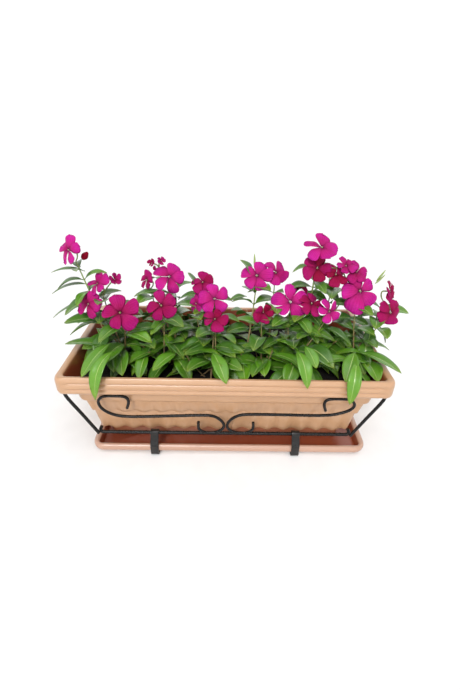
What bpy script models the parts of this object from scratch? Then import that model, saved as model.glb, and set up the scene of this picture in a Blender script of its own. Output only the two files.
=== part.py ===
"""Self-watering trough planter in a wire and flat-bar holder, with its soil and plants.

Units are metres, +Z is up, and the front of the planter faces -Y. Everything is laid out
around the trough's centre line and parented to one empty, which puts the middle of the
whole object's footprint at the origin. The ground is the underside of the flat bars.
"""

import math

import bmesh
import bpy
from mathutils import Vector

# Driving dimensions of the trough
RIM_LENGTH = 0.500
RIM_DEPTH = 0.230
RIM_TOP = 0.156
BAND_BOTTOM = 0.126
RIM_CORNER = 0.013
RIB_DEPTH = 0.0013
WALL = 0.003
SKIRT_CORNER = 0.0125
SKIRT_BOTTOM = 0.0348
TIER_EDGE = 0.0742
SHOULDER_BOTTOM = 0.1000
FLUTE_RELIEF = 0.0012
SCALLOP = 0.0007
LONG_SIDE_FLUTES = 14
SHORT_SIDE_FLUTES = 5
CORNER_FLUTES = 1
STEPS_PER_FLUTE = 4

# Clearance that touching pieces keep
GAP = 0.0003

# Tray
TRAY_OFFSET = 0.0078
TRAY_HALF_LENGTH = 0.2245
TRAY_HALF_DEPTH = 0.1126
TRAY_TOP = 0.019
BAR_THICKNESS = 0.0025
TRAY_UNDERSIDE = BAR_THICKNESS + GAP
TRAY_FLOOR = TRAY_UNDERSIDE + 0.0025

# Trough floor and reservoir
TROUGH_UNDERSIDE = TRAY_FLOOR + GAP
TROUGH_FLOOR = TROUGH_UNDERSIDE + 0.0025
LEDGE = 0.038
PLINTH_HALF_LENGTH = 0.196
PLINTH_HALF_DEPTH = 0.074

# Wire holder
ROD_RADIUS = 0.00275
ROD_HALF_LENGTH = 0.2027
ROD_BEND = 0.0042
ROD_Y = -0.101
ROD_Z = 0.0383
STAY_RADIUS = 0.0025
SCROLL_RADIUS = 0.0023
SCROLL_Y = -0.1043
LEFT_SCROLL_REACH = 0.98
HOOP_HALF_LENGTH = 0.2403
HOOP_HALF_DEPTH = 0.1075
HOOP_CORNER = 0.0105
HOOP_Z = 0.138

# Flat bars
BAR_WIDTH = 0.013
BAR_X = 0.1138
RAIL_GAP = 0.040
RAIL_HOOK_TOP = 0.160
RAIL_LIP_LENGTH = 0.045

# Insert: perforated floor, wick cups, fill tube and level gauge
PLATE_BOTTOM = LEDGE + GAP
PLATE_TOP = PLATE_BOTTOM + 0.0025
CUP_X = 0.110
CUP_RADIUS = 0.027
CUP_WALL = 0.0018
CUP_BOTTOM = 0.010
FILL_X, FILL_Y = -0.178, 0.056
FILL_RADIUS = 0.010
TUBE_TOP = 0.136
LEVEL_X, LEVEL_Y = 0.176, 0.058
LEVEL_RADIUS = 0.0065
TUBE_WALL = 0.0015
LID_THICKNESS = 0.0025
LID_HINGE_OFFSET = 0.0118
LID_PIN_RADIUS = 0.0009

# Soil and plants
SOIL_TOP = 0.128
SOIL_BOTTOM = 0.0437
FOLIAGE_BOTTOM = 0.168
FOLIAGE_HALF_LENGTH = 0.300
FOLIAGE_HALF_DEPTH = 0.150
FOLIAGE_GAP = 0.0008
PLANT_TOPS = (0.325, 0.300, 0.315, 0.300, 0.310, 0.345, 0.315)
STEM_RADIUS = 0.0045

# The footprint's middle in Y, from the front of the leaves to the back of the rail hooks
BAR_BACK_Y = RIM_DEPTH / 2 + 0.0008 + BAR_THICKNESS / 2
FOOTPRINT_BACK = BAR_BACK_Y + RAIL_GAP + 1.5 * BAR_THICKNESS
CENTRE_SHIFT = (FOOTPRINT_BACK - FOLIAGE_HALF_DEPTH) / 2


def clear_scene():
    for item in list(bpy.data.objects):
        bpy.data.objects.remove(item, do_unlink=True)


def make_material(name, colour, roughness, metallic=0.0):
    material = bpy.data.materials.new(name)
    material.use_nodes = True
    shader = material.node_tree.nodes["Principled BSDF"]
    shader.inputs["Base Color"].default_value = (*colour, 1.0)
    shader.inputs["Roughness"].default_value = roughness
    shader.inputs["Metallic"].default_value = metallic
    return material


def place(item, parent, material, smooth=False):
    """Link an object under the footprint empty with its own copy of a material."""
    bpy.context.collection.objects.link(item)
    item.parent = parent
    item.data.materials.append(material.copy())
    if smooth:
        item.data.shade_smooth()
        item.data.set_sharp_from_angle(angle=math.radians(35))
    return item


def mesh_object(name, points, faces, origin=(0, 0, 0)):
    shift = Vector(origin)
    mesh = bpy.data.meshes.new(name)
    mesh.from_pydata([Vector(point) - shift for point in points], [], faces)
    mesh.update()
    item = bpy.data.objects.new(name, mesh)
    item.location = shift
    return item


def loft(name, rings, origin=(0, 0, 0), closed=False):
    """Skin a list of equal rings; the ends are capped unless the loft closes on itself."""
    count = len(rings[0])
    points = [point for ring_ in rings for point in ring_]
    faces = []
    spans = len(rings) if closed else len(rings) - 1
    for level in range(spans):
        low = level * count
        high = ((level + 1) % len(rings)) * count
        for i in range(count):
            j = (i + 1) % count
            faces.append((low + i, low + j, high + j, high + i))
    if not closed:
        faces.append(tuple(reversed(range(count))))
        faces.append(tuple(range(len(points) - count, len(points))))
    return mesh_object(name, points, faces, origin)


def ring(half_length, half_depth, corner, z, relief=0.0, scallop=0.0, groove=0.0, middle=0.0):
    """A rounded rectangle at one height, anticlockwise from above.

    The relief makes outward flutes and the scallop lowers them; a groove sinks the straight
    sides only, so that it fades out at the corners.
    """
    cx = half_length - corner
    cy = half_depth - corner
    points = []
    for turn in range(4):
        angle = turn * math.pi / 2
        out = Vector((math.cos(angle), math.sin(angle)))
        along = Vector((-out.y, out.x))
        reach = half_length if turn % 2 == 0 else half_depth
        half_run = cy if turn % 2 == 0 else cx
        flutes = SHORT_SIDE_FLUTES if turn % 2 == 0 else LONG_SIDE_FLUTES
        steps = flutes * STEPS_PER_FLUTE
        for step in range(steps):
            wave = -math.cos(2 * math.pi * step / STEPS_PER_FLUTE)
            depth = groove if step else 0.0
            flat = out * (reach + relief * wave - depth) + along * half_run * (2 * step / steps - 1)
            points.append((flat.x + middle, flat.y, z - scallop * wave))
        hub = out * (reach - corner) + along * half_run
        steps = CORNER_FLUTES * STEPS_PER_FLUTE
        for step in range(steps):
            wave = -math.cos(2 * math.pi * step / STEPS_PER_FLUTE)
            bend = angle + math.pi / 2 * step / steps
            radius = corner + relief * wave
            spot = hub + Vector((math.cos(bend), math.sin(bend))) * radius
            points.append((spot.x + middle, spot.y, z - scallop * wave))
    return points


def turned(name, profile, centre, segments=24, origin=(0, 0, 0), closed=False):
    """A turned piece from (radius, z) pairs that run up the outside and down the inside."""
    rings = []
    for radius, z in profile:
        rings.append([
            (
                centre[0] + radius * math.cos(2 * math.pi * i / segments),
                centre[1] + radius * math.sin(2 * math.pi * i / segments),
                z,
            )
            for i in range(segments)
        ])
    return loft(name, rings, origin, closed)


def box(name, low, high, origin=(0, 0, 0)):
    rings = [
        [(low[0], low[1], z), (high[0], low[1], z), (high[0], high[1], z), (low[0], high[1], z)]
        for z in (low[2], high[2])
    ]
    return loft(name, rings, origin)


def rounded_path(corners, radius, steps=6, closed=False):
    """A polyline through the corners with each bend rounded to the radius."""
    count = len(corners)
    points = []
    for i, here in enumerate(corners):
        here = Vector(here)
        if not closed and i in (0, count - 1):
            points.append(here)
            continue
        back = (Vector(corners[i - 1]) - here).normalized()
        ahead = (Vector(corners[(i + 1) % count]) - here).normalized()
        half = back.angle(ahead) / 2
        reach = radius / math.tan(half)
        hub = here + (back + ahead).normalized() * radius / math.sin(half)
        start = here + back * reach - hub
        end = here + ahead * reach - hub
        sweep = start.angle(end)
        for step in range(steps + 1):
            share = step / steps
            blend = start * math.sin((1 - share) * sweep) + end * math.sin(share * sweep)
            points.append(hub + blend / math.sin(sweep))
    return points


def smooth_path(knots, steps=4):
    """A Catmull-Rom curve through the knots."""
    knots = [Vector(knot) for knot in knots]
    padded = [2 * knots[0] - knots[1]] + knots + [2 * knots[-1] - knots[-2]]
    points = []
    for i in range(1, len(padded) - 2):
        a, b, c, d = padded[i - 1 : i + 3]
        for step in range(steps):
            t = step / steps
            points.append(
                0.5
                * (2 * b + (c - a) * t + (2 * a - 5 * b + 4 * c - d) * t**2
                   + (3 * b - a - 3 * c + d) * t**3)
            )
    points.append(knots[-1])
    return points


def wire(name, points, radius, closed=False, resolution=2):
    """A round wire as a bevelled curve with filled ends."""
    curve = bpy.data.curves.new(name, "CURVE")
    curve.dimensions = "3D"
    curve.bevel_depth = radius
    curve.bevel_resolution = resolution
    curve.use_fill_caps = not closed
    spline = curve.splines.new("POLY")
    spline.points.add(len(points) - 1)
    for slot, point in zip(spline.points, points):
        slot.co = (*point, 1.0)
    spline.use_cyclic_u = closed
    return bpy.data.objects.new(name, curve)


def place_wire(item, parent, material):
    bpy.context.collection.objects.link(item)
    item.parent = parent
    item.data.materials.append(material.copy())


def cut(item, cutters, parent, operation="DIFFERENCE"):
    """Cut or join the other solids into an object with exact Booleans."""
    for cutter in cutters:
        bpy.context.collection.objects.link(cutter)
        cutter.parent = parent
        cutter.hide_render = True
        cutter.display_type = "WIRE"
        step = item.modifiers.new(cutter.name, "BOOLEAN")
        step.operation = operation
        step.solver = "EXACT"
        step.object = cutter


def joined(name, pieces):
    """One mesh object from several separate solids, for cutters that never touch."""
    shape = bmesh.new()
    for piece in pieces:
        offset = len(shape.verts)
        for vertex in piece.data.vertices:
            shape.verts.new(vertex.co + piece.location)
        shape.verts.ensure_lookup_table()
        for polygon in piece.data.polygons:
            shape.faces.new([shape.verts[offset + index] for index in polygon.vertices])
        bpy.data.objects.remove(piece, do_unlink=True)
    mesh = bpy.data.meshes.new(name)
    shape.to_mesh(mesh)
    shape.free()
    return bpy.data.objects.new(name, mesh)


# Trough ---------------------------------------------------------------------------------

# Three ribs round the rim: height, share of the groove's depth
RIB_PROFILE = (
    (0.1275, 0.35),
    (0.1302, 0.00),
    (0.1332, 0.30),
    (0.1354, 1.00),
    (0.1376, 0.30),
    (0.1406, 0.00),
    (0.1436, 0.30),
    (0.1458, 1.00),
    (0.1480, 0.30),
    (0.1510, 0.00),
    (0.1538, 0.15),
)

# Inner wall of the trough: height, half length, half depth, corner radius
INNER_WALL = (
    (LEDGE, 0.2025, 0.0838, 0.0095),
    (0.0985, 0.2188, 0.0896, 0.0095),
    (0.1040, 0.2215, 0.0916, 0.0095),
    (0.1220, 0.2278, 0.0960, 0.0090),
    (0.1530, 0.2388, 0.1068, 0.0065),
    (RIM_TOP, 0.2402, 0.1082, 0.0070),
)


def inner_section(z, clearance=0.0):
    """The trough's inner outline at a height, shrunk by a clearance."""
    for low, high in zip(INNER_WALL, INNER_WALL[1:]):
        if z <= high[0]:
            share = (z - low[0]) / (high[0] - low[0])
            half_length, half_depth, corner = (
                a + (b - a) * share for a, b in zip(low[1:], high[1:])
            )
            return ring(half_length - clearance, half_depth - clearance, corner - clearance, z)
    raise ValueError("height above the rim")


def skirt_rings():
    """The outside below the rim: a plinth, two fluted tiers and a smooth shoulder."""
    corner = SKIRT_CORNER
    return [
        ring(PLINTH_HALF_LENGTH, PLINTH_HALF_DEPTH, 0.014, TROUGH_UNDERSIDE),
        ring(PLINTH_HALF_LENGTH, PLINTH_HALF_DEPTH, 0.014, 0.0357),
        ring(0.2056, 0.0868, corner, SKIRT_BOTTOM, FLUTE_RELIEF, SCALLOP),
        ring(0.2098, 0.0880, corner, 0.0540, FLUTE_RELIEF / 3),
        ring(0.2143, 0.0893, corner, TIER_EDGE - 0.0004, FLUTE_RELIEF / 3, SCALLOP * 1.3),
        ring(0.2158, 0.0907, corner, TIER_EDGE, FLUTE_RELIEF, SCALLOP * 1.3),
        ring(0.2222, 0.0928, corner, SHOULDER_BOTTOM - 0.0012, FLUTE_RELIEF * 0.7),
        ring(0.2250, 0.0955, corner, SHOULDER_BOTTOM),
        ring(0.2276, 0.0972, corner, SHOULDER_BOTTOM + 0.0016),
        ring(0.2284, 0.0980, corner, 0.1085),
        ring(0.2300, 0.0990, corner, 0.1200),
    ]


def rim_rings():
    """The hollow rim: up its inner skin, down inside its face, then up its ribbed face."""
    rim_x, rim_y = RIM_LENGTH / 2, RIM_DEPTH / 2
    inside = WALL + 0.0006
    rings = [
        ring(0.2320, 0.1000, SKIRT_CORNER, BAND_BOTTOM),
        ring(0.2430, 0.1096, 0.0100, 0.1520),
        ring(rim_x - inside, rim_y - inside, RIM_CORNER - inside, 0.1520),
        ring(rim_x - inside, rim_y - inside, RIM_CORNER - inside, BAND_BOTTOM),
        ring(rim_x - 0.0009, rim_y - 0.0009, RIM_CORNER - 0.0009, BAND_BOTTOM),
    ]
    for z, groove in RIB_PROFILE:
        rings.append(ring(rim_x, rim_y, RIM_CORNER, z, groove=groove * RIB_DEPTH))
    rings.append(ring(rim_x - 0.0013, rim_y - 0.0013, RIM_CORNER - 0.0013, RIM_TOP - 0.0008))
    rings.append(ring(rim_x - 0.0036, rim_y - 0.0030, RIM_CORNER - 0.0030, RIM_TOP))
    return rings


def build_trough(parent, terracotta):
    rings = skirt_rings() + rim_rings()
    rings += [inner_section(level[0]) for level in reversed(INNER_WALL)]
    rings += [
        ring(PLINTH_HALF_LENGTH - WALL, PLINTH_HALF_DEPTH - WALL, 0.011, LEDGE - 0.0002),
        ring(PLINTH_HALF_LENGTH - WALL, PLINTH_HALF_DEPTH - WALL, 0.011, TROUGH_FLOOR),
    ]
    trough = place(loft("trough", rings), parent, terracotta, smooth=True)
    drain = turned("drain_cutter", [(0.008, 0.0), (0.008, 0.030)], (0, 0), 16)
    cut(trough, [drain], parent)
    return trough


def build_drain_plug(parent, dark_plastic):
    profile = [
        (0.0076, TROUGH_UNDERSIDE + GAP),
        (0.0076, TROUGH_FLOOR + GAP),
        (0.0110, TROUGH_FLOOR + GAP),
        (0.0110, TROUGH_FLOOR + 0.0030),
        (0.0040, TROUGH_FLOOR + 0.0045),
    ]
    place(turned("drain_plug", profile, (0, 0), 16), parent, dark_plastic, smooth=True)


# Tray -----------------------------------------------------------------------------------


def build_tray(parent, terracotta):
    """Rings from the underside over the rolled lip to the tray's floor."""
    outer_x, outer_y = TRAY_HALF_LENGTH, TRAY_HALF_DEPTH
    sections = [
        (0.0090, 0.0090, 0.018, TRAY_UNDERSIDE),
        (0.0010, 0.0010, 0.019, 0.0085),
        (0.0000, 0.0000, 0.020, 0.0140),
        (0.0020, 0.0015, 0.018, TRAY_TOP - 0.0010),
        (0.0050, 0.0035, 0.014, TRAY_TOP),
        (0.0105, 0.0068, 0.006, TRAY_TOP - 0.0006),
        (0.0120, 0.0080, 0.005, 0.0165),
        (0.0135, 0.0100, 0.005, TRAY_FLOOR),
    ]
    rings = [
        ring(outer_x - inset_x, outer_y - inset_y, corner, z, middle=TRAY_OFFSET)
        for inset_x, inset_y, corner, z in sections
    ]
    place(loft("drip_tray", rings), parent, terracotta, smooth=True)


# Wire holder ----------------------------------------------------------------------------


def build_front_rod(parent, black_wire):
    """A straight rod whose ends turn up into short stubs behind the stays."""
    corners = []
    for side in (-1, 1):
        bend = (side * ROD_HALF_LENGTH, ROD_Y, ROD_Z)
        tip = (side * (ROD_HALF_LENGTH - 0.0040), ROD_Y + 0.0025, ROD_Z + 0.0095)
        corners += [tip, bend] if side < 0 else [bend, tip]
    place_wire(wire("front_rod", rounded_path(corners, ROD_BEND), ROD_RADIUS), parent, black_wire)


def build_rim_hoop(parent, black_wire):
    x, y = HOOP_HALF_LENGTH, HOOP_HALF_DEPTH
    corners = [(x, -y, HOOP_Z), (x, y, HOOP_Z), (-x, y, HOOP_Z), (-x, -y, HOOP_Z)]
    path = rounded_path(corners, HOOP_CORNER, closed=True)
    place_wire(wire("rim_hoop", path, STAY_RADIUS, closed=True), parent, black_wire)


def stay_path(side):
    """From under the hoop's corner down to the rod's end, which it crosses in front."""
    knots = [
        (HOOP_HALF_LENGTH, -0.0985, HOOP_Z - 2 * STAY_RADIUS + 0.0006),
        (0.2406, -0.1010, 0.1265),
        (0.2400, -0.1040, 0.1154),
        (0.2196, -0.1053, 0.0762),
        (0.2014, ROD_Y - ROD_RADIUS - STAY_RADIUS - GAP, ROD_Z + 0.0030),
    ]
    return [(side * x, y, z) for x, y, z in knots]


# Scroll knots from the outer curl to the middle loop: distance out, then height on the left
# and on the right, where the long run lies a little higher
SCROLL_KNOTS = (
    (0.1545, 0.0930, 0.0930),
    (0.1510, 0.1040, 0.1040),
    (0.1520, 0.1125, 0.1125),
    (0.1590, 0.1165, 0.1165),
    (0.1740, 0.1172, 0.1172),
    (0.1890, 0.1155, 0.1155),
    (0.1972, 0.1060, 0.1065),
    (0.1940, 0.0920, 0.0965),
    (0.1810, 0.0812, 0.0890),
    (0.1630, 0.0760, 0.0840),
    (0.1350, 0.0757, 0.0826),
    (0.0900, 0.0777, 0.0832),
    (0.0400, 0.0800, 0.0832),
    (0.0200, 0.0785, 0.0803),
    (0.0070, 0.0690, 0.0700),
    (0.0026, 0.0580, 0.0580),
    (0.0080, 0.0480, 0.0480),
    (0.0200, 0.0428, 0.0428),
    (0.0340, 0.0432, 0.0432),
    (0.0425, 0.0495, 0.0495),
    (0.0440, 0.0580, 0.0580),
    (0.0435, 0.0660, 0.0660),
)


def scroll_path(side):
    """An S: an open curl at the outer end, a long run, and a loop against the middle."""
    knots = []
    for x, left_z, right_z in SCROLL_KNOTS:
        if side < 0:
            knots.append((-x * LEFT_SCROLL_REACH, SCROLL_Y, left_z))
        else:
            knots.append((x, SCROLL_Y, right_z))
    return smooth_path(knots, 3)


def build_stays_and_scrolls(parent, black_wire):
    for word, side in (("left", -1), ("right", 1)):
        stay = wire(f"stay_{word}", stay_path(side), STAY_RADIUS)
        place_wire(stay, parent, black_wire)
        scroll = wire(f"scroll_{word}", scroll_path(side), SCROLL_RADIUS)
        place_wire(scroll, parent, black_wire)


def bar_path():
    """The flat bar's centre line in Y and Z, from the tip behind the rod to the rail lip."""
    half = BAR_THICKNESS / 2
    wrap = ROD_RADIUS + GAP + half
    front_y = -TRAY_HALF_DEPTH - GAP - half
    back_y = BAR_BACK_Y
    lip_y = back_y + RAIL_GAP + BAR_THICKNESS
    path = [(ROD_Y + wrap, ROD_Z - 0.006)]
    for step in range(7):
        angle = math.radians(30 * step)
        path.append((ROD_Y + wrap * math.cos(angle), ROD_Z + wrap * math.sin(angle)))
    corners = [
        (0, ROD_Y - wrap, ROD_Z - 0.002),
        (0, front_y, 0.0215),
        (0, front_y, half),
        (0, back_y, half),
        (0, back_y, RAIL_HOOK_TOP),
        (0, lip_y, RAIL_HOOK_TOP),
        (0, lip_y, RAIL_HOOK_TOP - RAIL_LIP_LENGTH),
    ]
    path += [(point.y, point.z) for point in rounded_path(corners, 0.0045, 4)]
    return path


def build_bars(parent, black_bar):
    centres = bar_path()
    half = BAR_THICKNESS / 2
    for word, side in (("left", -1), ("right", 1)):
        rings = []
        for i, (y, z) in enumerate(centres):
            before = Vector(centres[max(i - 1, 0)])
            after = Vector(centres[min(i + 1, len(centres) - 1)])
            here = Vector((y, z))
            into = (here - before).normalized() if i else (after - here).normalized()
            onward = (after - here).normalized() if i < len(centres) - 1 else into
            normal = into + onward
            normal = Vector((-normal.y, normal.x)).normalized()
            reach = half / max(0.5, normal.dot(Vector((-into.y, into.x))))
            up, down = here + normal * reach, here - normal * reach
            left, right = side * BAR_X - BAR_WIDTH / 2, side * BAR_X + BAR_WIDTH / 2
            rings.append([
                (left, up.x, up.y),
                (right, up.x, up.y),
                (right, down.x, down.y),
                (left, down.x, down.y),
            ])
        place(loft(f"hanger_bar_{word}", rings), parent, black_bar)


# Insert ---------------------------------------------------------------------------------


def perforations():
    """Drainage holes in rows, left out where the cups and the tubes pass."""
    holes = []
    for column in range(-8, 9):
        for row in (-2, -1, 0, 1, 2):
            x, y = column * 0.023, row * 0.028
            near_cup = math.hypot(abs(x) - CUP_X, y) < CUP_RADIUS + 0.010
            near_fill = math.hypot(x - FILL_X, y - FILL_Y) < FILL_RADIUS + 0.008
            near_level = math.hypot(x - LEVEL_X, y - LEVEL_Y) < LEVEL_RADIUS + 0.008
            if near_cup or near_fill or near_level or (column + row) % 2:
                continue
            name = f"hole_{column}_{row}"
            profile = [(0.0032, PLATE_BOTTOM - 0.002), (0.0032, PLATE_TOP + 0.002)]
            holes.append(turned(name, profile, (x, y), 8))
    return holes


def build_separator(parent, dark_plastic):
    rings = [inner_section(PLATE_BOTTOM, 0.0008), inner_section(PLATE_TOP, 0.0014)]
    plate = place(loft("separator_plate", rings), parent, dark_plastic)
    span = (PLATE_BOTTOM - 0.003, PLATE_TOP + 0.003)
    openings = [
        turned(f"cup_hole_{i}", [(CUP_RADIUS + GAP, z) for z in span], (x, 0), 32)
        for i, x in enumerate((-CUP_X, CUP_X))
    ]
    fill_hole = [(FILL_RADIUS + GAP, z) for z in span]
    openings.append(turned("fill_hole", fill_hole, (FILL_X, FILL_Y), 24))
    level_hole = [(LEVEL_RADIUS + GAP, z) for z in span]
    openings.append(turned("level_hole", level_hole, (LEVEL_X, LEVEL_Y), 16))
    cut(plate, [joined("plate_cutter", openings + perforations())], parent)


def build_wick_cup(parent, dark_plastic, word, x):
    lip = PLATE_TOP + GAP
    profile = [
        (CUP_RADIUS - 0.005, CUP_BOTTOM),
        (CUP_RADIUS - 0.0005, lip),
        (CUP_RADIUS + 0.004, lip),
        (CUP_RADIUS + 0.004, lip + 0.002),
        (CUP_RADIUS - CUP_WALL, lip + 0.002),
        (CUP_RADIUS - 0.005 - CUP_WALL, CUP_BOTTOM + 0.002),
    ]
    cup = place(turned(f"wick_cup_{word}", profile, (x, 0), 32), parent, dark_plastic, smooth=True)
    slots = []
    for turn in range(3):
        angle = math.radians(60 * turn + 30)
        along = Vector((math.cos(angle), math.sin(angle)))
        across = Vector((-along.y, along.x)) * 0.002
        rings = []
        for z in (0.015, 0.033):
            corners = (-along * 0.04 - across, along * 0.04 - across,
                       along * 0.04 + across, -along * 0.04 + across)
            rings.append([(x + corner.x, corner.y, z) for corner in corners])
        slots.append(loft(f"slot_{word}_{turn}", rings))
    cut(cup, slots, parent)


def build_fill_tube(parent, dark_plastic):
    inner = FILL_RADIUS - TUBE_WALL
    profile = [(FILL_RADIUS, 0.012), (FILL_RADIUS, TUBE_TOP), (inner, TUBE_TOP), (inner, 0.012)]
    tube = turned("fill_tube", profile, (FILL_X, FILL_Y), 24, closed=True)
    place(tube, parent, dark_plastic, smooth=True)
    hinge_y = FILL_Y + LID_HINGE_OFFSET
    ears = []
    for side in (-1, 1):
        x = FILL_X + side * 0.0048
        ears.append(box(
            f"hinge_ear_{side}",
            (x - 0.0009, FILL_Y + FILL_RADIUS - 0.0020, TUBE_TOP - 0.006),
            (x + 0.0009, hinge_y + 0.0018, TUBE_TOP + LID_THICKNESS / 2 + 0.0018),
        ))
    cut(tube, ears, parent, "UNION")
    bore = pin_solid("ear_bore", LID_PIN_RADIUS + 0.00015, 0.009)
    cut(tube, [bore], parent)


def pin_solid(name, radius, half_length, segments=12):
    """A cylinder along X on the lid's hinge axis."""
    hinge = (FILL_X, FILL_Y + LID_HINGE_OFFSET, TUBE_TOP + GAP + LID_THICKNESS / 2)
    rings = []
    for x in (hinge[0] - half_length, hinge[0] + half_length):
        rings.append([
            (
                x,
                hinge[1] + radius * math.cos(2 * math.pi * i / segments),
                hinge[2] + radius * math.sin(2 * math.pi * i / segments),
            )
            for i in range(segments)
        ])
    return loft(name, rings)


def build_lid(parent, dark_plastic, steel):
    low = TUBE_TOP + GAP
    hinge = (FILL_X, FILL_Y + LID_HINGE_OFFSET, low + LID_THICKNESS / 2)
    rim = FILL_RADIUS + 0.0004
    profile = [(rim, low), (rim, low + LID_THICKNESS), (rim - 0.002, low + LID_THICKNESS + 0.0006)]
    lid = turned("fill_lid", profile, (FILL_X, FILL_Y), 24, origin=hinge)
    place(lid, parent, dark_plastic, smooth=True)
    tongue = box(
        "lid_tongue",
        (FILL_X - 0.0034, FILL_Y + FILL_RADIUS - 0.003, low),
        (FILL_X + 0.0034, hinge[1] + 0.0016, low + LID_THICKNESS),
    )
    clear = []
    for side in (-1, 1):
        x = FILL_X + side * 0.0048
        clear.append(box(
            f"ear_room_{side}",
            (x - 0.0013, FILL_Y + FILL_RADIUS - 0.0026, low - 0.004),
            (x + 0.0013, hinge[1] + 0.004, low + 0.008),
        ))
    cut(lid, [tongue], parent, "UNION")
    cut(lid, [*clear, pin_solid("lid_bore", LID_PIN_RADIUS + 0.00015, 0.009)], parent)
    place(pin_solid("lid_pin", LID_PIN_RADIUS, 0.0062), parent, steel, smooth=True)


def build_level_gauge(parent, dark_plastic, red_plastic):
    inner = LEVEL_RADIUS - TUBE_WALL
    base = TROUGH_FLOOR + GAP
    profile = [(LEVEL_RADIUS, base), (LEVEL_RADIUS, TUBE_TOP), (inner, TUBE_TOP), (inner, base)]
    tube = turned("level_tube", profile, (LEVEL_X, LEVEL_Y), 16, closed=True)
    place(tube, parent, dark_plastic, smooth=True)
    ports = [
        box(f"port_{turn}", (LEVEL_X - size[0], LEVEL_Y - size[1], base + 0.004),
            (LEVEL_X + size[0], LEVEL_Y + size[1], base + 0.020))
        for turn, size in enumerate(((0.0012, 0.02), (0.02, 0.0012)))
    ]
    cut(tube, ports, parent)
    float_top = base + 0.0155
    rest = base + 0.0005
    spot = (LEVEL_X, LEVEL_Y)
    origin = (LEVEL_X, LEVEL_Y, rest)
    body = [(0.0030, rest), (0.0043, rest + 0.001), (0.0043, float_top), (0.0030, float_top + 0.001)]
    place(turned("float", body, spot, 16, origin), parent, red_plastic, smooth=True)
    rod_low = float_top + 0.001 + GAP
    stem = [
        (0.0010, rod_low),
        (0.0010, TUBE_TOP - 0.001),
        (0.0040, TUBE_TOP - 0.001),
        (0.0040, TUBE_TOP + 0.0025),
        (0.0020, TUBE_TOP + 0.0035),
    ]
    place(turned("level_indicator", stem, spot, 16, origin), parent, red_plastic, smooth=True)


# Soil and plants ------------------------------------------------------------------------


def build_soil(parent, soil_material):
    clearance = 0.0005
    heights = (SOIL_BOTTOM, 0.0985, 0.1040, 0.1220, SOIL_TOP)
    soil = place(
        loft("potting_soil", [inner_section(z, clearance) for z in heights]), parent, soil_material
    )
    plug_top = SOIL_BOTTOM + 0.004
    wall = CUP_WALL + GAP
    plugs = [
        turned(
            f"soil_plug_{i}",
            [(CUP_RADIUS - 0.005 - wall, CUP_BOTTOM + 0.0024), (CUP_RADIUS - wall - 0.0006, plug_top)],
            (x, 0),
            24,
        )
        for i, x in enumerate((-CUP_X, CUP_X))
    ]
    cut(soil, plugs, parent, "UNION")
    span = (SOIL_BOTTOM - 0.005, SOIL_TOP + 0.005)
    bores = [
        turned("fill_room", [(0.0150, z) for z in span], (FILL_X, FILL_Y), 24),
        turned("level_room", [(LEVEL_RADIUS + 0.0006, z) for z in span], (LEVEL_X, LEVEL_Y), 16),
    ]
    cut(soil, bores, parent)


def foliage_rings(middle, half_width, top):
    """A flat-bottomed mound: each level is a squarish oval, widest a third of the way up."""
    height = top - FOLIAGE_BOTTOM
    levels = (
        (0.0, 0.72), (0.12, 0.92), (0.35, 1.0), (0.60, 0.93), (0.80, 0.74), (0.94, 0.46), (1.0, 0.2)
    )
    rings = []
    for share, scale in levels:
        points = []
        for i in range(18):
            angle = 2 * math.pi * i / 18
            c, s = math.cos(angle), math.sin(angle)
            x = math.copysign(abs(c) ** 0.7, c) * half_width * scale
            y = math.copysign(abs(s) ** 0.7, s) * FOLIAGE_HALF_DEPTH * scale
            points.append((middle + x, y, FOLIAGE_BOTTOM + share * height))
        rings.append(points)
    return rings


def build_plants(parent, leaf_green, stem_green):
    count = len(PLANT_TOPS)
    pitch = 2 * FOLIAGE_HALF_LENGTH / count
    for i, top in enumerate(PLANT_TOPS):
        middle = -FOLIAGE_HALF_LENGTH + pitch * (i + 0.5)
        rings = foliage_rings(middle, pitch / 2 - FOLIAGE_GAP, top)
        place(loft(f"plant_{i + 1}_foliage", rings), parent, leaf_green, smooth=True)
        root_x = middle * 0.74
        knots = [
            (root_x, 0.0, SOIL_TOP + GAP),
            (root_x + (middle - root_x) * 0.25, -0.002, SOIL_TOP + 0.014),
            (root_x + (middle - root_x) * 0.6, 0.002, SOIL_TOP + 0.028),
        ]
        path = smooth_path(knots, 3)
        end = Vector((root_x + (middle - root_x) * 0.8, 0.002, FOLIAGE_BOTTOM - GAP))
        rings = []
        for point in path + [end]:
            share = (point.z - SOIL_TOP) / (FOLIAGE_BOTTOM - SOIL_TOP)
            radius = STEM_RADIUS * (1 - 0.35 * share)
            rings.append([
                (
                    point.x + radius * math.cos(2 * math.pi * k / 10),
                    point.y + radius * math.sin(2 * math.pi * k / 10),
                    point.z,
                )
                for k in range(10)
            ])
        place(loft(f"plant_{i + 1}_stem", rings), parent, stem_green, smooth=True)


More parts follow.
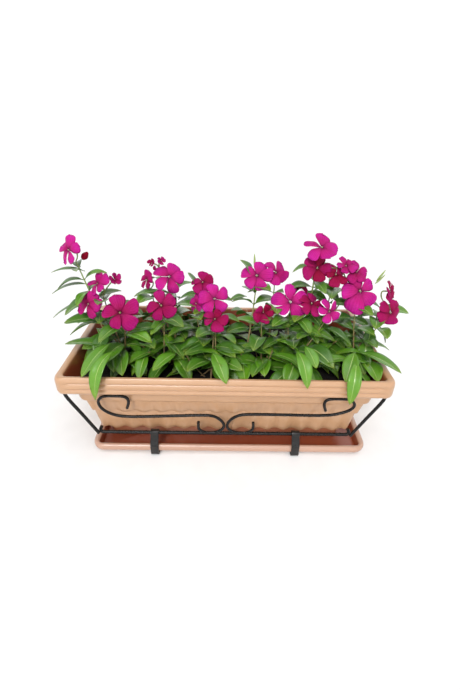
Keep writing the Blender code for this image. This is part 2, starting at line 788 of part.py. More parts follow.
def main():
    clear_scene()
    footprint = bpy.data.objects.new("footprint", None)
    bpy.context.collection.objects.link(footprint)
    footprint.location = (0, -CENTRE_SHIFT, 0)

    terracotta = make_material("terracotta_plastic", (0.73, 0.44, 0.27), 0.45)
    dark_plastic = make_material("dark_plastic", (0.025, 0.025, 0.027), 0.5)
    red_plastic = make_material("red_plastic", (0.60, 0.03, 0.02), 0.4)
    black_wire = make_material("black_enamel_wire", (0.012, 0.011, 0.011), 0.3, 0.3)
    black_bar = make_material("black_enamel_bar", (0.012, 0.012, 0.012), 0.25, 0.3)
    steel = make_material("bright_steel", (0.6, 0.6, 0.6), 0.3, 1.0)
    soil_material = make_material("soil", (0.012, 0.010, 0.009), 0.95)
    leaf_green = make_material("leaf_green", (0.10, 0.27, 0.03), 0.5)
    stem_green = make_material("stem_green", (0.25, 0.30, 0.08), 0.55)

    build_front_rod(footprint, black_wire)
    build_stays_and_scrolls(footprint, black_wire)
    build_rim_hoop(footprint, black_wire)
    build_bars(footprint, black_bar)
    build_tray(footprint, terracotta)
    build_trough(footprint, terracotta)
    build_drain_plug(footprint, dark_plastic)
    build_separator(footprint, dark_plastic)
    build_wick_cup(footprint, dark_plastic, "left", -CUP_X)
    build_wick_cup(footprint, dark_plastic, "right", CUP_X)
    build_fill_tube(footprint, dark_plastic)
    build_lid(footprint, dark_plastic, steel)
    build_level_gauge(footprint, dark_plastic, red_plastic)
    build_soil(footprint, soil_material)
    build_plants(footprint, leaf_green, stem_green)


main()
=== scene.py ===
import math
import random

import bpy
from mathutils import Matrix, Vector


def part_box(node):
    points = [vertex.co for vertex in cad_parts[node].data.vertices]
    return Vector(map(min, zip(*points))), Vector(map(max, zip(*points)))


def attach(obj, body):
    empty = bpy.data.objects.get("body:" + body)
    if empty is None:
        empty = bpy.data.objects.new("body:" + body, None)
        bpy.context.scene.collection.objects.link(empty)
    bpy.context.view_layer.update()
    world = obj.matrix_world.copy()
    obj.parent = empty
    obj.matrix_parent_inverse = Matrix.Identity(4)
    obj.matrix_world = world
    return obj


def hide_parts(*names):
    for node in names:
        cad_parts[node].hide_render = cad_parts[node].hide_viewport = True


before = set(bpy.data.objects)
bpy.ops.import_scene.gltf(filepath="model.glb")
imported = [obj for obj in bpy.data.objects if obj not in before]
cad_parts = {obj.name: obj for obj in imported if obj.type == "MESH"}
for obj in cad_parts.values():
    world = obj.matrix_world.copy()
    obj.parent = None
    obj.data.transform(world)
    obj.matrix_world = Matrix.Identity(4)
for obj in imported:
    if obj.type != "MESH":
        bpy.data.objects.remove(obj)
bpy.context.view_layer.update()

# A self-watering window box in a black wire holder, full of crimson periwinkle.
# Lengths are in metres. Every place is given from the middle of the trough, at the ground:
# +X to the right seen from the front, -Y towards the camera, +Z up.


def box_corners(name):
    return [Vector(corner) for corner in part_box(name)]


RIM_LOW, RIM_HIGH = box_corners("trough")
TRAY_LOW, TRAY_HIGH = box_corners("drip_tray")
SOIL_LOW, SOIL_HIGH = box_corners("potting_soil")
MIDDLE = Vector(((RIM_LOW.x + RIM_HIGH.x) / 2, (RIM_LOW.y + RIM_HIGH.y) / 2, 0.0))
RIM_X = (RIM_HIGH.x - RIM_LOW.x) / 2
RIM_Y = (RIM_HIGH.y - RIM_LOW.y) / 2
RIM_TOP = RIM_HIGH.z
SOIL_TOP = SOIL_HIGH.z


# ----------------------------------------------------------------------------- materials

WHITE_EDGE_TONE = 1.2


class Look:
    """A Principled material with a short way to add and join nodes."""

    def __init__(self, name, roughness, specular=0.5, metallic=0.0):
        self.material = bpy.data.materials.new(name)
        self.material.use_nodes = True
        self.tree = self.material.node_tree
        self.shader = self.tree.nodes["Principled BSDF"]
        self.fill(self.shader, {
            "Roughness": roughness, "Specular IOR Level": specular, "Metallic": metallic,
        })

    def fill(self, node, sources):
        """Give each named socket its value, or join the output it is fed from."""
        for name, source in sources.items():
            socket = node.inputs[name]
            if isinstance(source, bpy.types.NodeSocket):
                self.tree.links.new(source, socket)
            elif socket.type == "RGBA":
                socket.default_value = (*source, 1.0)
            else:
                socket.default_value = source

    def node(self, kind, sources, **settings):
        made = self.tree.nodes.new("ShaderNode" + kind)
        for key, value in settings.items():
            setattr(made, key, value)
        self.fill(made, sources)
        return made

    def noise(self, scale, detail=4.0, roughness=0.5, stretch=None):
        where = self.node("TexCoord", {}).outputs["Object"]
        if stretch:
            where = self.node("Mapping", {"Vector": where, "Scale": stretch}).outputs["Vector"]
        texture = self.node("TexNoise", {
            "Vector": where, "Scale": scale, "Detail": detail, "Roughness": roughness,
        })
        return texture.outputs["Fac"]

    def ramp(self, value, stops):
        ramp = self.node("ValToRGB", {"Fac": value})
        elements = ramp.color_ramp.elements
        while len(elements) < len(stops):
            elements.new(0.5)
        for element, (place, colour) in zip(elements, stops):
            element.position = place
            element.color = (*colour, 1.0)
        return ramp.outputs["Color"]

    def scale_value(self, value, low, high):
        span = self.node("MapRange", {"Value": value, "To Min": low, "To Max": high})
        return span.outputs["Result"]

    def mix(self, factor, first, second):
        return self.node("Mix", {0: factor, 6: first, 7: second}, data_type="RGBA").outputs[2]

    def maths(self, operation, *sources):
        return self.node("Math", dict(enumerate(sources)), operation=operation).outputs[0]

    def times(self, first, second):
        return self.maths("MULTIPLY", first, second)

    def colour(self, output):
        self.fill(self.shader, {"Base Color": output})

    def speckle(self, value, *stops):
        self.colour(self.ramp(value, stops))

    def rough(self, output):
        self.fill(self.shader, {"Roughness": output})

    def bump(self, height, distance, strength):
        bump = self.node("Bump", {"Height": height, "Distance": distance, "Strength": strength})
        self.fill(self.shader, {"Normal": bump.outputs["Normal"]})

    def glow_through(self, weight, radius):
        self.fill(self.shader, {"Subsurface Weight": weight, "Subsurface Radius": radius})

    def attribute(self, name):
        return self.node("Attribute", {}, attribute_name=name).outputs["Fac"]

    def growth(self):
        """How far across and how far along a blade or petal a place lies."""
        place = self.node("UVMap", {}, uv_map="grow").outputs["UV"]
        split = self.node("SeparateXYZ", {0: place})
        return split.outputs["X"], split.outputs["Y"]


TROUGH_COLOURS = ((0.460, 0.248, 0.122), (0.505, 0.282, 0.145))
TRAY_COLOURS = ((0.430, 0.238, 0.160), (0.480, 0.275, 0.190))


def terracotta_look(name, colours):
    """Satin peach plastic outside; a deeper red-brown painted shade inside and below, where shade falls.
    """
    look = Look(name, 0.30, specular=0.95)
    broad = look.noise(9.0, 5.0, 0.6)
    fine = look.noise(160.0, 3.0)
    plain_outside = look.ramp(broad, list(zip((0.30, 0.70), colours)))
    plain_outside = look.mix(look.scale_value(fine, 0.0, 0.10), plain_outside, (0.70, 0.46, 0.31))
    # Painted shade: this deeper red-brown darkens the inside, the plinth and the tray floor, where shade
    # falls.
    painted_shade = look.mix(broad, (0.235, 0.042, 0.014), (0.310, 0.064, 0.022))
    look.colour(look.mix(look.attribute("tone"), plain_outside, painted_shade))
    look.rough(look.scale_value(look.noise(45.0, 3.0), 0.27, 0.35))
    look.bump(look.noise(900.0, 2.0), 0.00010, 0.5)
    return look.material


def black_enamel_look(name, roughness, scuff, gloss):
    """Thick gloss black with fine runs, and brown scuffs where the wear reaches a level."""
    look = Look(name, roughness, specular=gloss)
    wear = look.noise(260.0, 6.0, 0.7)
    dark, worn = (0.0030, 0.0026, 0.0026), (0.055, 0.040, 0.030)
    look.speckle(wear, (0.00, (0.0020, 0.0018, 0.0018)), (0.70, dark), (scuff, worn))
    look.rough(look.scale_value(look.noise(120.0, 4.0), roughness - 0.06, roughness + 0.12))
    look.bump(look.noise(260.0, 4.0), 0.0005, 0.7)
    return look.material


def plastic_look(name, colour, lighter, roughness):
    look = Look(name, roughness)
    look.speckle(look.noise(60.0, 4.0), (0.35, colour), (0.70, lighter))
    look.rough(look.scale_value(look.noise(90.0, 3.0), roughness - 0.06, roughness + 0.10))
    look.bump(look.noise(700.0, 2.0), 0.0001, 0.5)
    return look.material


def steel_look():
    look = Look("bright_steel", 0.28, metallic=1.0)
    brushed = look.noise(300.0, 4.0, stretch=(1.0, 20.0, 20.0))
    look.speckle(brushed, (0.3, (0.46, 0.46, 0.47)), (0.7, (0.66, 0.66, 0.66)))
    look.bump(brushed, 0.0001, 0.4)
    return look.material


def soil_look():
    look = Look("damp_potting_soil", 0.9, specular=0.25)
    grains = look.noise(420.0, 6.0, 0.75)
    damp, dry = (0.012, 0.009, 0.0075), (0.040, 0.028, 0.020)
    look.speckle(grains, (0.30, (0.0035, 0.003, 0.0028)), (0.58, damp), (0.80, dry))
    look.bump(grains, 0.0012, 0.9)
    return look.material


def leaf_look():
    """Green blades with a pale midrib, paired side veins and a yellower tip."""
    look = Look("periwinkle_leaf", 0.28, specular=0.60)
    across, along = look.growth()
    tone = look.attribute("tone")
    side = look.maths("ABSOLUTE", across)
    patch = look.noise(70.0, 4.0)
    young = look.mix(patch, (0.150, 0.360, 0.010), (0.075, 0.245, 0.008))
    old = look.mix(patch, (0.040, 0.140, 0.010), (0.020, 0.078, 0.009))
    blade = look.mix(tone, old, young)
    slant = look.maths("MULTIPLY_ADD", side, -0.55, along)
    rows = look.maths("SINE", look.times(slant, 62.0))
    vein = look.maths("POWER", look.maths("MAXIMUM", rows, 0.0), 14.0)
    fade = look.maths("SUBTRACT", 1.0, side)
    vein_share = look.times(vein, look.times(fade, 0.40))
    blade = look.mix(vein_share, blade, (0.26, 0.46, 0.08))
    tip = look.maths("POWER", along, 9.0)
    blade = look.mix(look.times(tip, 0.40), blade, (0.40, 0.44, 0.03))
    width = look.maths("MULTIPLY_ADD", along, -0.040, 0.066)
    rib = look.maths("LESS_THAN", side, width)
    look.colour(look.mix(look.times(rib, 0.72), blade, (0.46, 0.60, 0.20)))
    look.rough(look.scale_value(patch, 0.22, 0.42))
    height = look.maths("ADD", look.times(vein, -0.6), look.times(patch, 0.5))
    look.bump(height, 0.0007, 0.9)
    look.glow_through(0.06, (0.0008, 0.0012, 0.0003))
    return look.material


def petal_look():
    """Crimson throat opening into magenta, with fine streaks and, at high tones, white edges."""
    look = Look("periwinkle_petal", 0.6, specular=0.07)
    across, along = look.growth()
    tone = look.attribute("tone")
    violet = look.maths("MINIMUM", tone, 1.0)
    outer = look.mix(violet, (0.235, 0.0008, 0.018), (0.500, 0.0060, 0.260))
    middle = look.mix(violet, (0.200, 0.0006, 0.012), (0.400, 0.0010, 0.080))
    body = look.mix(look.maths("POWER", along, 1.1), middle, outer)
    streak = look.maths("SINE", look.times(across, 21.0))
    share = look.times(look.maths("MAXIMUM", streak, 0.0), 0.22)
    body = look.mix(share, body, (0.16, 0.0005, 0.018))
    throat = look.maths("POWER", look.maths("SUBTRACT", 1.0, along), 6.0)
    body = look.mix(look.times(throat, 0.95), body, (0.055, 0.000, 0.004))
    patch = look.noise(110.0, 3.0)
    bloom = look.times(patch, look.times(violet, 0.30))
    body = look.mix(bloom, body, (0.60, 0.070, 0.42))
    edge = look.maths("GREATER_THAN", look.maths("MULTIPLY_ADD", along, 0.5, across), 1.12)
    pale = look.times(edge, look.maths("GREATER_THAN", tone, WHITE_EDGE_TONE))
    look.colour(look.mix(pale, body, (0.88, 0.80, 0.84)))
    height = look.maths("ADD", look.times(streak, 0.35), patch)
    look.bump(height, 0.0006, 0.7)
    look.glow_through(0.04, (0.0014, 0.0003, 0.0006))
    return look.material


def stem_look():
    """Reddish brown at the foot of a stem, fresh green towards its tip."""
    look = Look("periwinkle_stem", 0.5)
    tone = look.attribute("tone")
    ringed = look.noise(240.0, 4.0)
    colour = look.ramp(tone, [
        (0.0, (0.17, 0.075, 0.040)),
        (0.45, (0.26, 0.17, 0.060)),
        (1.0, (0.24, 0.36, 0.080)),
    ])
    look.colour(look.mix(look.times(ringed, 0.4), colour, (0.36, 0.34, 0.16)))
    look.bump(ringed, 0.0004, 0.6)
    return look.material


def eye_look():
    look = Look("flower_eye", 0.5)
    look.speckle(look.noise(900.0, 2.0), (0.35, (0.36, 0.07, 0.13)), (0.65, (0.66, 0.32, 0.36)))
    return look.material


def floor_look(name, glow=0.0):
    """Matt near-white, with a little light of its own where a glow is given."""
    look = Look(name, 0.8, specular=0.2)
    look.fill(look.shader, {"Emission Color": (1.0, 1.0, 1.0), "Emission Strength": glow})
    look.speckle(look.noise(30.0, 3.0), (0.3, (0.88, 0.88, 0.88)), (0.7, (0.91, 0.91, 0.91)))
    return look.material


# -------------------------------------------------------------------------- mesh helpers


SHARP_EDGE = math.radians(40)


def shift(point):
    """A place measured from the trough's middle, in the scene."""
    return Vector(point) + MIDDLE


def link(item, material, body, replaced=()):
    bpy.context.collection.objects.link(item)
    item.data.materials.append(material)
    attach(item, body)
    if replaced:
        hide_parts(*replaced)


def smooth(mesh):
    """Shade the mesh smoothly but for its sharp edges."""
    mesh.shade_smooth()
    mesh.set_sharp_from_angle(angle=SHARP_EDGE)


def new_mesh(name, points, faces):
    mesh = bpy.data.meshes.new(name)
    mesh.from_pydata(points, [], faces)
    mesh.update()
    return mesh


def paint_tones(mesh, tones):
    """Store each point's tone, which the materials read."""
    mesh.attributes.new("tone", "FLOAT", "POINT").data.foreach_set("value", tones)


def skin(levels, count):
    """Quads between neighbouring rings of count points, from the first ring to the last."""
    return [
        (low + i, low + (i + 1) % count, low + count + (i + 1) % count, low + count + i)
        for low in range(0, count * (levels - 1), count)
        for i in range(count)
    ]


def caps(levels, count):
    """A face over the first ring and one over the last."""
    last = count * (levels - 1)
    return [tuple(reversed(range(count))), tuple(range(last, last + count))]


def circle(radius, z, count, x=0.0, y=0.0):
    """Points round an upright axis, anticlockwise from above."""
    turns = [2 * math.pi * i / count for i in range(count)]
    return [(x + radius * math.cos(turn), y + radius * math.sin(turn), z) for turn in turns]


def loft(name, rings, tones=None):
    """A closed skin over equal rings, with a tone for each ring if they are given."""
    levels, count = len(rings), len(rings[0])
    points = [shift(point) for outline in rings for point in outline]
    mesh = new_mesh(name, points, skin(levels, count) + caps(levels, count))
    if tones:
        paint_tones(mesh, [tone for tone in tones for point in range(count)])
    smooth(mesh)
    return bpy.data.objects.new(name, mesh)


LONG_SIDE_FLUTES = 14
SHORT_SIDE_FLUTES = 5
CORNER_FLUTES = 1
STEPS_PER_FLUTE = 10
GROOVE_FADE_STEPS = 3


def ring(half_length, half_depth, corner, z, relief=0.0, scallop=0.0, groove=0.0, middle=0.0):
    """A rounded rectangle at one height, anticlockwise from above.

    The relief makes outward flutes and the scallop lowers them; a groove sinks the straight
    sides only, so that it fades out at the corners.
    """
    cx = half_length - corner
    cy = half_depth - corner
    points = []
    for turn in range(4):
        angle = turn * math.pi / 2
        out = Vector((math.cos(angle), math.sin(angle)))
        along = Vector((-out.y, out.x))
        reach = half_length if turn % 2 == 0 else half_depth
        half_run = cy if turn % 2 == 0 else cx
        flutes = SHORT_SIDE_FLUTES if turn % 2 == 0 else LONG_SIDE_FLUTES
        hub = out * (reach - corner) + along * half_run
        for stretch in (flutes, CORNER_FLUTES):
            steps = stretch * STEPS_PER_FLUTE
            for step in range(steps):
                wave = -math.cos(2 * math.pi * step / STEPS_PER_FLUTE)
                if stretch == flutes:
                    depth = groove * min(1.0, min(step, steps - step) / GROOVE_FADE_STEPS)
                    share = 2 * step / steps - 1
                    spot = out * (reach + relief * wave - depth) + along * half_run * share
                else:
                    bend = angle + math.pi / 2 * step / steps
                    spot = hub + Vector((math.cos(bend), math.sin(bend))) * (corner + relief * wave)
                points.append((spot.x + middle, spot.y, z - scallop * wave))
    return points


def rounded_path(corners, radius, steps=8, closed=False):
    """A polyline through the corners with each bend rounded to the radius."""
    count = len(corners)
    points = []
    for i, here in enumerate(corners):
        here = Vector(here)
        if not closed and i in (0, count - 1):
            points.append(here)
            continue
        back = (Vector(corners[i - 1]) - here).normalized()
        ahead = (Vector(corners[(i + 1) % count]) - here).normalized()
        half = back.angle(ahead) / 2
        reach = radius / math.tan(half)
        hub = here + (back + ahead).normalized() * radius / math.sin(half)
        start = here + back * reach - hub
        end = here + ahead * reach - hub
        sweep = start.angle(end)
        for step in range(steps + 1):
            share = step / steps
            blend = start * math.sin((1 - share) * sweep) + end * math.sin(share * sweep)
            points.append(hub + blend / math.sin(sweep))
    return points


def smooth_path(knots, steps=6):
    """A Catmull-Rom curve through the knots."""
    knots = [Vector(knot) for knot in knots]
    padded = [2 * knots[0] - knots[1]] + knots + [2 * knots[-1] - knots[-2]]
    points = []
    for i in range(1, len(padded) - 2):
        a, b, c, d = padded[i - 1 : i + 3]
        for step in range(steps):
            t = step / steps
            points.append(
                0.5
                * (2 * b + (c - a) * t + (2 * a - 5 * b + 4 * c - d) * t**2
                   + (3 * b - a - 3 * c + d) * t**3)
            )
    points.append(knots[-1])
    return points


def tangent_at(path, i):
    return (path[min(i + 1, len(path) - 1)] - path[max(i - 1, 0)]).normalized()


def wire(name, points, radius, closed=False):
    """A round wire: a bevelled curve, with its ends filled unless it is closed."""
    curve = bpy.data.curves.new(name, "CURVE")
    curve.dimensions = "3D"
    curve.bevel_depth = radius
    curve.bevel_resolution = 5
    curve.use_fill_caps = not closed
    spline = curve.splines.new("POLY")
    spline.points.add(len(points) - 1)
    for knot, point in zip(spline.points, points):
        knot.co = (*shift(point), 1.0)
    spline.use_cyclic_u = closed
    spline.use_smooth = True
    return bpy.data.objects.new(name, curve)


class Growth:
    """Collects blades, petals and stems into one mesh with growth coordinates and a tone."""

    def __init__(self):
        self.points = []
        self.faces = []
        self.coords = []
        self.tones = []

    def grid(self, rows, across, along, tone):
        """A sheet of rows, each at its place along, of points at the places across."""
        width = len(across)
        first = len(self.points)
        for row, v in zip(rows, along):
            self.points.extend(row)
            self.coords.extend((u, v) for u in across)
            self.tones.extend([tone] * width)
        for j in range(len(rows) - 1):
            for i in range(width - 1):
                a = first + j * width + i
                self.faces.append((a, a + 1, a + width + 1, a + width))

    def tube(self, path, radii, tones, sides=8):
        """A closed tapering tube along a path."""
        first = len(self.points)
        for i, point in enumerate(path):
            tangent = tangent_at(path, i)
            guide = Vector((0.0, 1.0, 0.0)) if abs(tangent.y) < 0.9 else Vector((1.0, 0.0, 0.0))
            a = tangent.cross(guide).normalized()
            b = tangent.cross(a)
            for k in range(sides):
                angle = 2 * math.pi * k / sides
                self.points.append(point + (a * math.cos(angle) + b * math.sin(angle)) * radii[i])
                self.coords.append((0.0, i / (len(path) - 1)))
                self.tones.append(tones[i])
        for i in range(len(path) - 1):
            for k in range(sides):
                a = first + i * sides + k
                b = first + i * sides + (k + 1) % sides
                self.faces.append((a, a + sides, b + sides, b))
        last = first + (len(path) - 1) * sides
        self.faces.append(tuple(first + k for k in range(sides)))
        self.faces.append(tuple(last + sides - 1 - k for k in range(sides)))

    def build(self, name, thickness=0.0):
        mesh = new_mesh(name, [shift(point) for point in self.points], self.faces)
        layer = mesh.uv_layers.new(name="grow")
        for loop in mesh.loops:
            layer.data[loop.index].uv = self.coords[loop.vertex_index]
        paint_tones(mesh, self.tones)
        mesh.shade_smooth()
        item = bpy.data.objects.new(name, mesh)
        if thickness:
            body = item.modifiers.new("thickness", "SOLIDIFY")
            body.thickness = thickness
            body.offset = 0.0
        return item


# -------------------------------------------------------------------------------- trough

RIM_CORNER = 0.013
RIB_HEIGHTS = (0.1302, 0.1406, 0.1510)
RIB_HALF_PITCH = 0.0052
RIB_DEPTH = 0.0024
RIM_ROUND_TOP, RIM_ROUND_BOTTOM = 0.0100, 0.0075
RIM_BULGE = 0.0042
SKIRT_CORNER = 0.0125
BAND_BOTTOM = 0.1260
TIER_EDGE = 0.0742
SHOULDER_BOTTOM = 0.1000
LEDGE = 0.0380
DRAIN_HOLE_RADIUS = 0.008
TRAY_ROLL_STEPS = 11
OUTSIDE, PAINTED_SHADE_INSIDE = 0.0, 1.0  # OUTSIDE, PAINTED_SHADE_INSIDE = 0.0, 1.0 # tones: plain outside plastic, and the darker painted shade inside


def rim_ring(inset, z, groove=0.0):
    """The rim's outline, drawn in evenly all round."""
    return ring(RIM_X - inset, RIM_Y - inset, RIM_CORNER - inset, z, groove=groove)


def rim_inset(z):
    """How far the rim's rounded outer face lies behind its widest place."""
    above = max(0.0, z - (RIM_TOP - RIM_ROUND_TOP)) / RIM_ROUND_TOP
    below = max(0.0, BAND_BOTTOM + RIM_ROUND_BOTTOM - z) / RIM_ROUND_BOTTOM
    away = min(1.0, max(above, below))
    return RIM_BULGE * (1 - math.sqrt(1 - away * away))


def band_rings():
    """The rim's outer face, bulging a little, from its lower edge over three ribs to its top."""
    low = BAND_BOTTOM + 0.0002
    rings = [
        rim_ring(RIM_BULGE + 0.0010, BAND_BOTTOM + 0.0004),
        rim_ring(RIM_BULGE + 0.0002, BAND_BOTTOM),
    ]
    steps = 60
    for step in range(steps + 1):
        z = low + (RIM_TOP - 0.0001 - low) * math.sin(math.pi / 2 * step / steps) ** 0.85
        away = min(abs(z - centre) for centre in RIB_HEIGHTS) / RIB_HALF_PITCH
        fade = min(1.0, (RIM_TOP - z) / 0.004, (z - low) / 0.003)
        rings.append(rim_ring(rim_inset(z), z, RIB_DEPTH * fade * min(1.0, away) ** 2))
    return rings


def tier_rings(low, high, z_low, z_high, relief):
    """A fluted tier whose flutes sink into the wall towards its top."""
    rings = []
    steps = 8
    for step in range(steps + 1):
        share = step / steps
        half_length = low[0] + (high[0] - low[0]) * share
        half_depth = low[1] + (high[1] - low[1]) * share
        z = z_low + (z_high - z_low) * share
        depth = relief[0] + (relief[1] - relief[0]) * share
        scallop = 0.0009 * max(0.0, 1 - 2.5 * share)
        rings.append(ring(half_length, half_depth, SKIRT_CORNER, z, depth, scallop))
    return rings


def trough_rings():
    """The whole shell as one skin, with a tone for each ring: outside, or the painted shade inside and
    on the plinth.
    """
    plinth = [
        ring(0.1945, 0.0725, 0.0125, RIM_LOW.z),
        ring(0.1960, 0.0740, 0.0140, RIM_LOW.z + 0.0015),
        ring(0.1960, 0.0740, 0.0140, 0.0350),
        ring(0.2030, 0.0842, 0.0125, 0.0357, 0.0008, 0.0004),
    ]
    skirt = [
        ring(0.2046, 0.0858, 0.0125, 0.0350, 0.0014, 0.0009),
        ring(0.2052, 0.0864, 0.0125, 0.0345, 0.0015, 0.0010),
    ]
    skirt += tier_rings((0.2057, 0.0869), (0.2141, 0.0892), 0.0352, TIER_EDGE - 0.0012, (0.0016, 0.0002))
    skirt += [
        ring(0.2143, 0.0893, SKIRT_CORNER, TIER_EDGE - 0.0004, 0.0003, 0.0010),
        ring(0.2152, 0.0902, SKIRT_CORNER, TIER_EDGE - 0.0005, 0.0013, 0.0011),
    ]
    skirt += tier_rings((0.2158, 0.0907), (0.2222, 0.0929), TIER_EDGE + 0.0004, 0.0975, (0.0015, 0.0010))
    skirt += [
        ring(0.2228, 0.0934, SKIRT_CORNER, 0.0990, 0.0003),
        ring(0.2250, 0.0955, SKIRT_CORNER, SHOULDER_BOTTOM - 0.0002),
        ring(0.2266, 0.0966, SKIRT_CORNER, SHOULDER_BOTTOM + 0.0002),
        ring(0.2275, 0.0972, SKIRT_CORNER, SHOULDER_BOTTOM + 0.0012),
        ring(0.2279, 0.0975, SKIRT_CORNER, SHOULDER_BOTTOM + 0.0030),
        ring(0.2286, 0.0981, SKIRT_CORNER, 0.1085),
        ring(0.2300, 0.0990, SKIRT_CORNER, 0.1200),
        ring(0.2320, 0.1000, SKIRT_CORNER, BAND_BOTTOM),
        ring(0.2402, 0.1082, 0.0100, 0.1520),
        rim_ring(0.0046, 0.1520),
        rim_ring(0.0038, 0.1440),
        rim_ring(0.0062, BAND_BOTTOM + 0.0008),
    ]
    band = band_rings()
    lip = [
        ring(0.2430, 0.1100, 0.0100, RIM_TOP),
        ring(0.2388, 0.1080, 0.0080, RIM_TOP - 0.0001),
        ring(0.2377, 0.1071, 0.0072, RIM_TOP - 0.0006),
    ]
    inside = [
        ring(0.2370, 0.1065, 0.0066, RIM_TOP - 0.0020),
        ring(0.2357, 0.1054, 0.0065, 0.1500),
        ring(0.2322, 0.1018, 0.0070, 0.1390),
        ring(0.2278, 0.0960, 0.0090, 0.1220),
        ring(0.2215, 0.0916, 0.0095, 0.1040),
        ring(0.2188, 0.0896, 0.0095, 0.0985),
        ring(0.2025, 0.0838, 0.0095, LEDGE),
        ring(0.1930, 0.0710, 0.0110, LEDGE - 0.0002),
        ring(0.1930, 0.0710, 0.0110, RIM_LOW.z + 0.0026),
    ]
    rings = plinth + skirt + band + lip + inside
    # The plinth, the inner lip and the inside get tones of painted shade.
    tones = [0.75] * len(plinth) + [OUTSIDE] * (len(skirt) + len(band)) + [0.0, 0.05, 0.25]
    tones += [0.7] + [PAINTED_SHADE_INSIDE] * (len(inside) - 1)
    return rings, tones


def bore(item, x, y, low, high, radius):
    """Cut a round upright hole through a linked piece."""
    count = 24
    points = circle(radius, low, count, x, y) + circle(radius, high, count, x, y)
    cutter = bpy.data.objects.new("bore", new_mesh("bore", points, skin(2, count) + caps(2, count)))
    bpy.context.collection.objects.link(cutter)
    hole = item.modifiers.new("bore", "BOOLEAN")
    hole.object = cutter
    hole.solver = "EXACT"
    bpy.context.view_layer.objects.active = item
    bpy.ops.object.modifier_apply(modifier="bore")
    bpy.data.objects.remove(cutter, do_unlink=True)


def build_trough(terracotta):
    rings, tones = trough_rings()
    shell = loft("trough_shell", rings, tones)
    link(shell, terracotta, "trough", ["trough"])
    bore(shell, MIDDLE.x, MIDDLE.y, RIM_LOW.z - 0.01, RIM_LOW.z + 0.01, DRAIN_HOLE_RADIUS)
    smooth(shell.data)


def build_tray(terracotta):
    """A shallow tray with a rolled lip."""
    middle = (TRAY_LOW.x + TRAY_HIGH.x) / 2 - MIDDLE.x
    half_x = (TRAY_HIGH.x - TRAY_LOW.x) / 2
    half_y = (TRAY_HIGH.y - TRAY_LOW.y) / 2
    low, top = TRAY_LOW.z, TRAY_HIGH.z
    # Each ring: how far in from the tray's length and depth, its corner, height and tone; the inner
    # rings' tones are painted shade
    rows = [
        (0.0105, 0.0105, 0.0165, low, OUTSIDE),
        (0.0080, 0.0080, 0.0180, low + 0.0004, OUTSIDE),
    ]
    for step in range(TRAY_ROLL_STEPS + 1):
        angle = math.radians(-70 + 160 * step / TRAY_ROLL_STEPS)
        inset = 0.0046 * (1 - math.cos(angle))
        rows.append((inset, inset, 0.0200 - inset, top - 0.0064 + 0.0064 * math.sin(angle), OUTSIDE))
    rows += [
        (0.0090, 0.0060, 0.0080, top - 0.0001, OUTSIDE),
        (0.0104, 0.0068, 0.0062, top - 0.0006, 0.15),
        (0.0112, 0.0074, 0.0054, top - 0.0018, 0.8),
        (0.0125, 0.0088, 0.0050, low + 0.0036, PAINTED_SHADE_INSIDE),
        (0.0135, 0.0098, 0.0050, low + 0.0025, PAINTED_SHADE_INSIDE),
    ]
    rings = [ring(half_x - x, half_y - y, corner, z, middle=middle) for x, y, corner, z, _ in rows]
    tray = loft("drip_tray_shell", rings, [row[-1] for row in rows])
    link(tray, terracotta, "holder", ["drip_tray"])


# -------------------------------------------------------------------------------- holder

ROD_RADIUS = 0.00275
ROD_HALF_LENGTH = 0.2027
ROD_BEND = 0.0042
ROD_Y = -0.101
ROD_Z = 0.0383
STAY_RADIUS = 0.0025
SCROLL_RADIUS = 0.0023
SCROLL_Y = -0.1043
LEFT_SCROLL_REACH = 0.98
HOOP_X, HOOP_Y, HOOP_Z = 0.2403, 0.1075, 0.138
HOOP_BEND = 0.0105
BAR_THICKNESS = 0.0025
BAR_WIDTH = 0.013
BAR_EDGE = 0.0006
BAR_X = 0.1138
BAR_BACK_Y = RIM_Y + 0.0008 + BAR_THICKNESS / 2
RAIL_GAP = 0.040
RAIL_HOOK_TOP = 0.160
RAIL_LIP_LENGTH = 0.045
WELD_GAP = 0.0003


def stay_path(side):
    """From under the hoop's corner down to the rod's end, which it crosses in front."""
    knots = [
        (HOOP_X, -0.0985, HOOP_Z - 2 * STAY_RADIUS + 0.0006),
        (0.2406, -0.1010, 0.1265),
        (0.2400, -0.1040, 0.1154),
        (0.2196, -0.1053, 0.0762),
        (0.2014, ROD_Y - ROD_RADIUS - STAY_RADIUS - WELD_GAP, ROD_Z + 0.0030),
    ]
    return smooth_path([(side * x, y, z) for x, y, z in knots], 5)


def rod_path():
    """A straight rod whose ends turn up into short stubs behind the stays."""
    bend = ROD_HALF_LENGTH
    tip, tip_y, tip_z = bend - 0.0040, ROD_Y + 0.0025, ROD_Z + 0.0095
    corners = [(-tip, tip_y, tip_z), (-bend, ROD_Y, ROD_Z), (bend, ROD_Y, ROD_Z), (tip, tip_y, tip_z)]
    return rounded_path(corners, ROD_BEND)


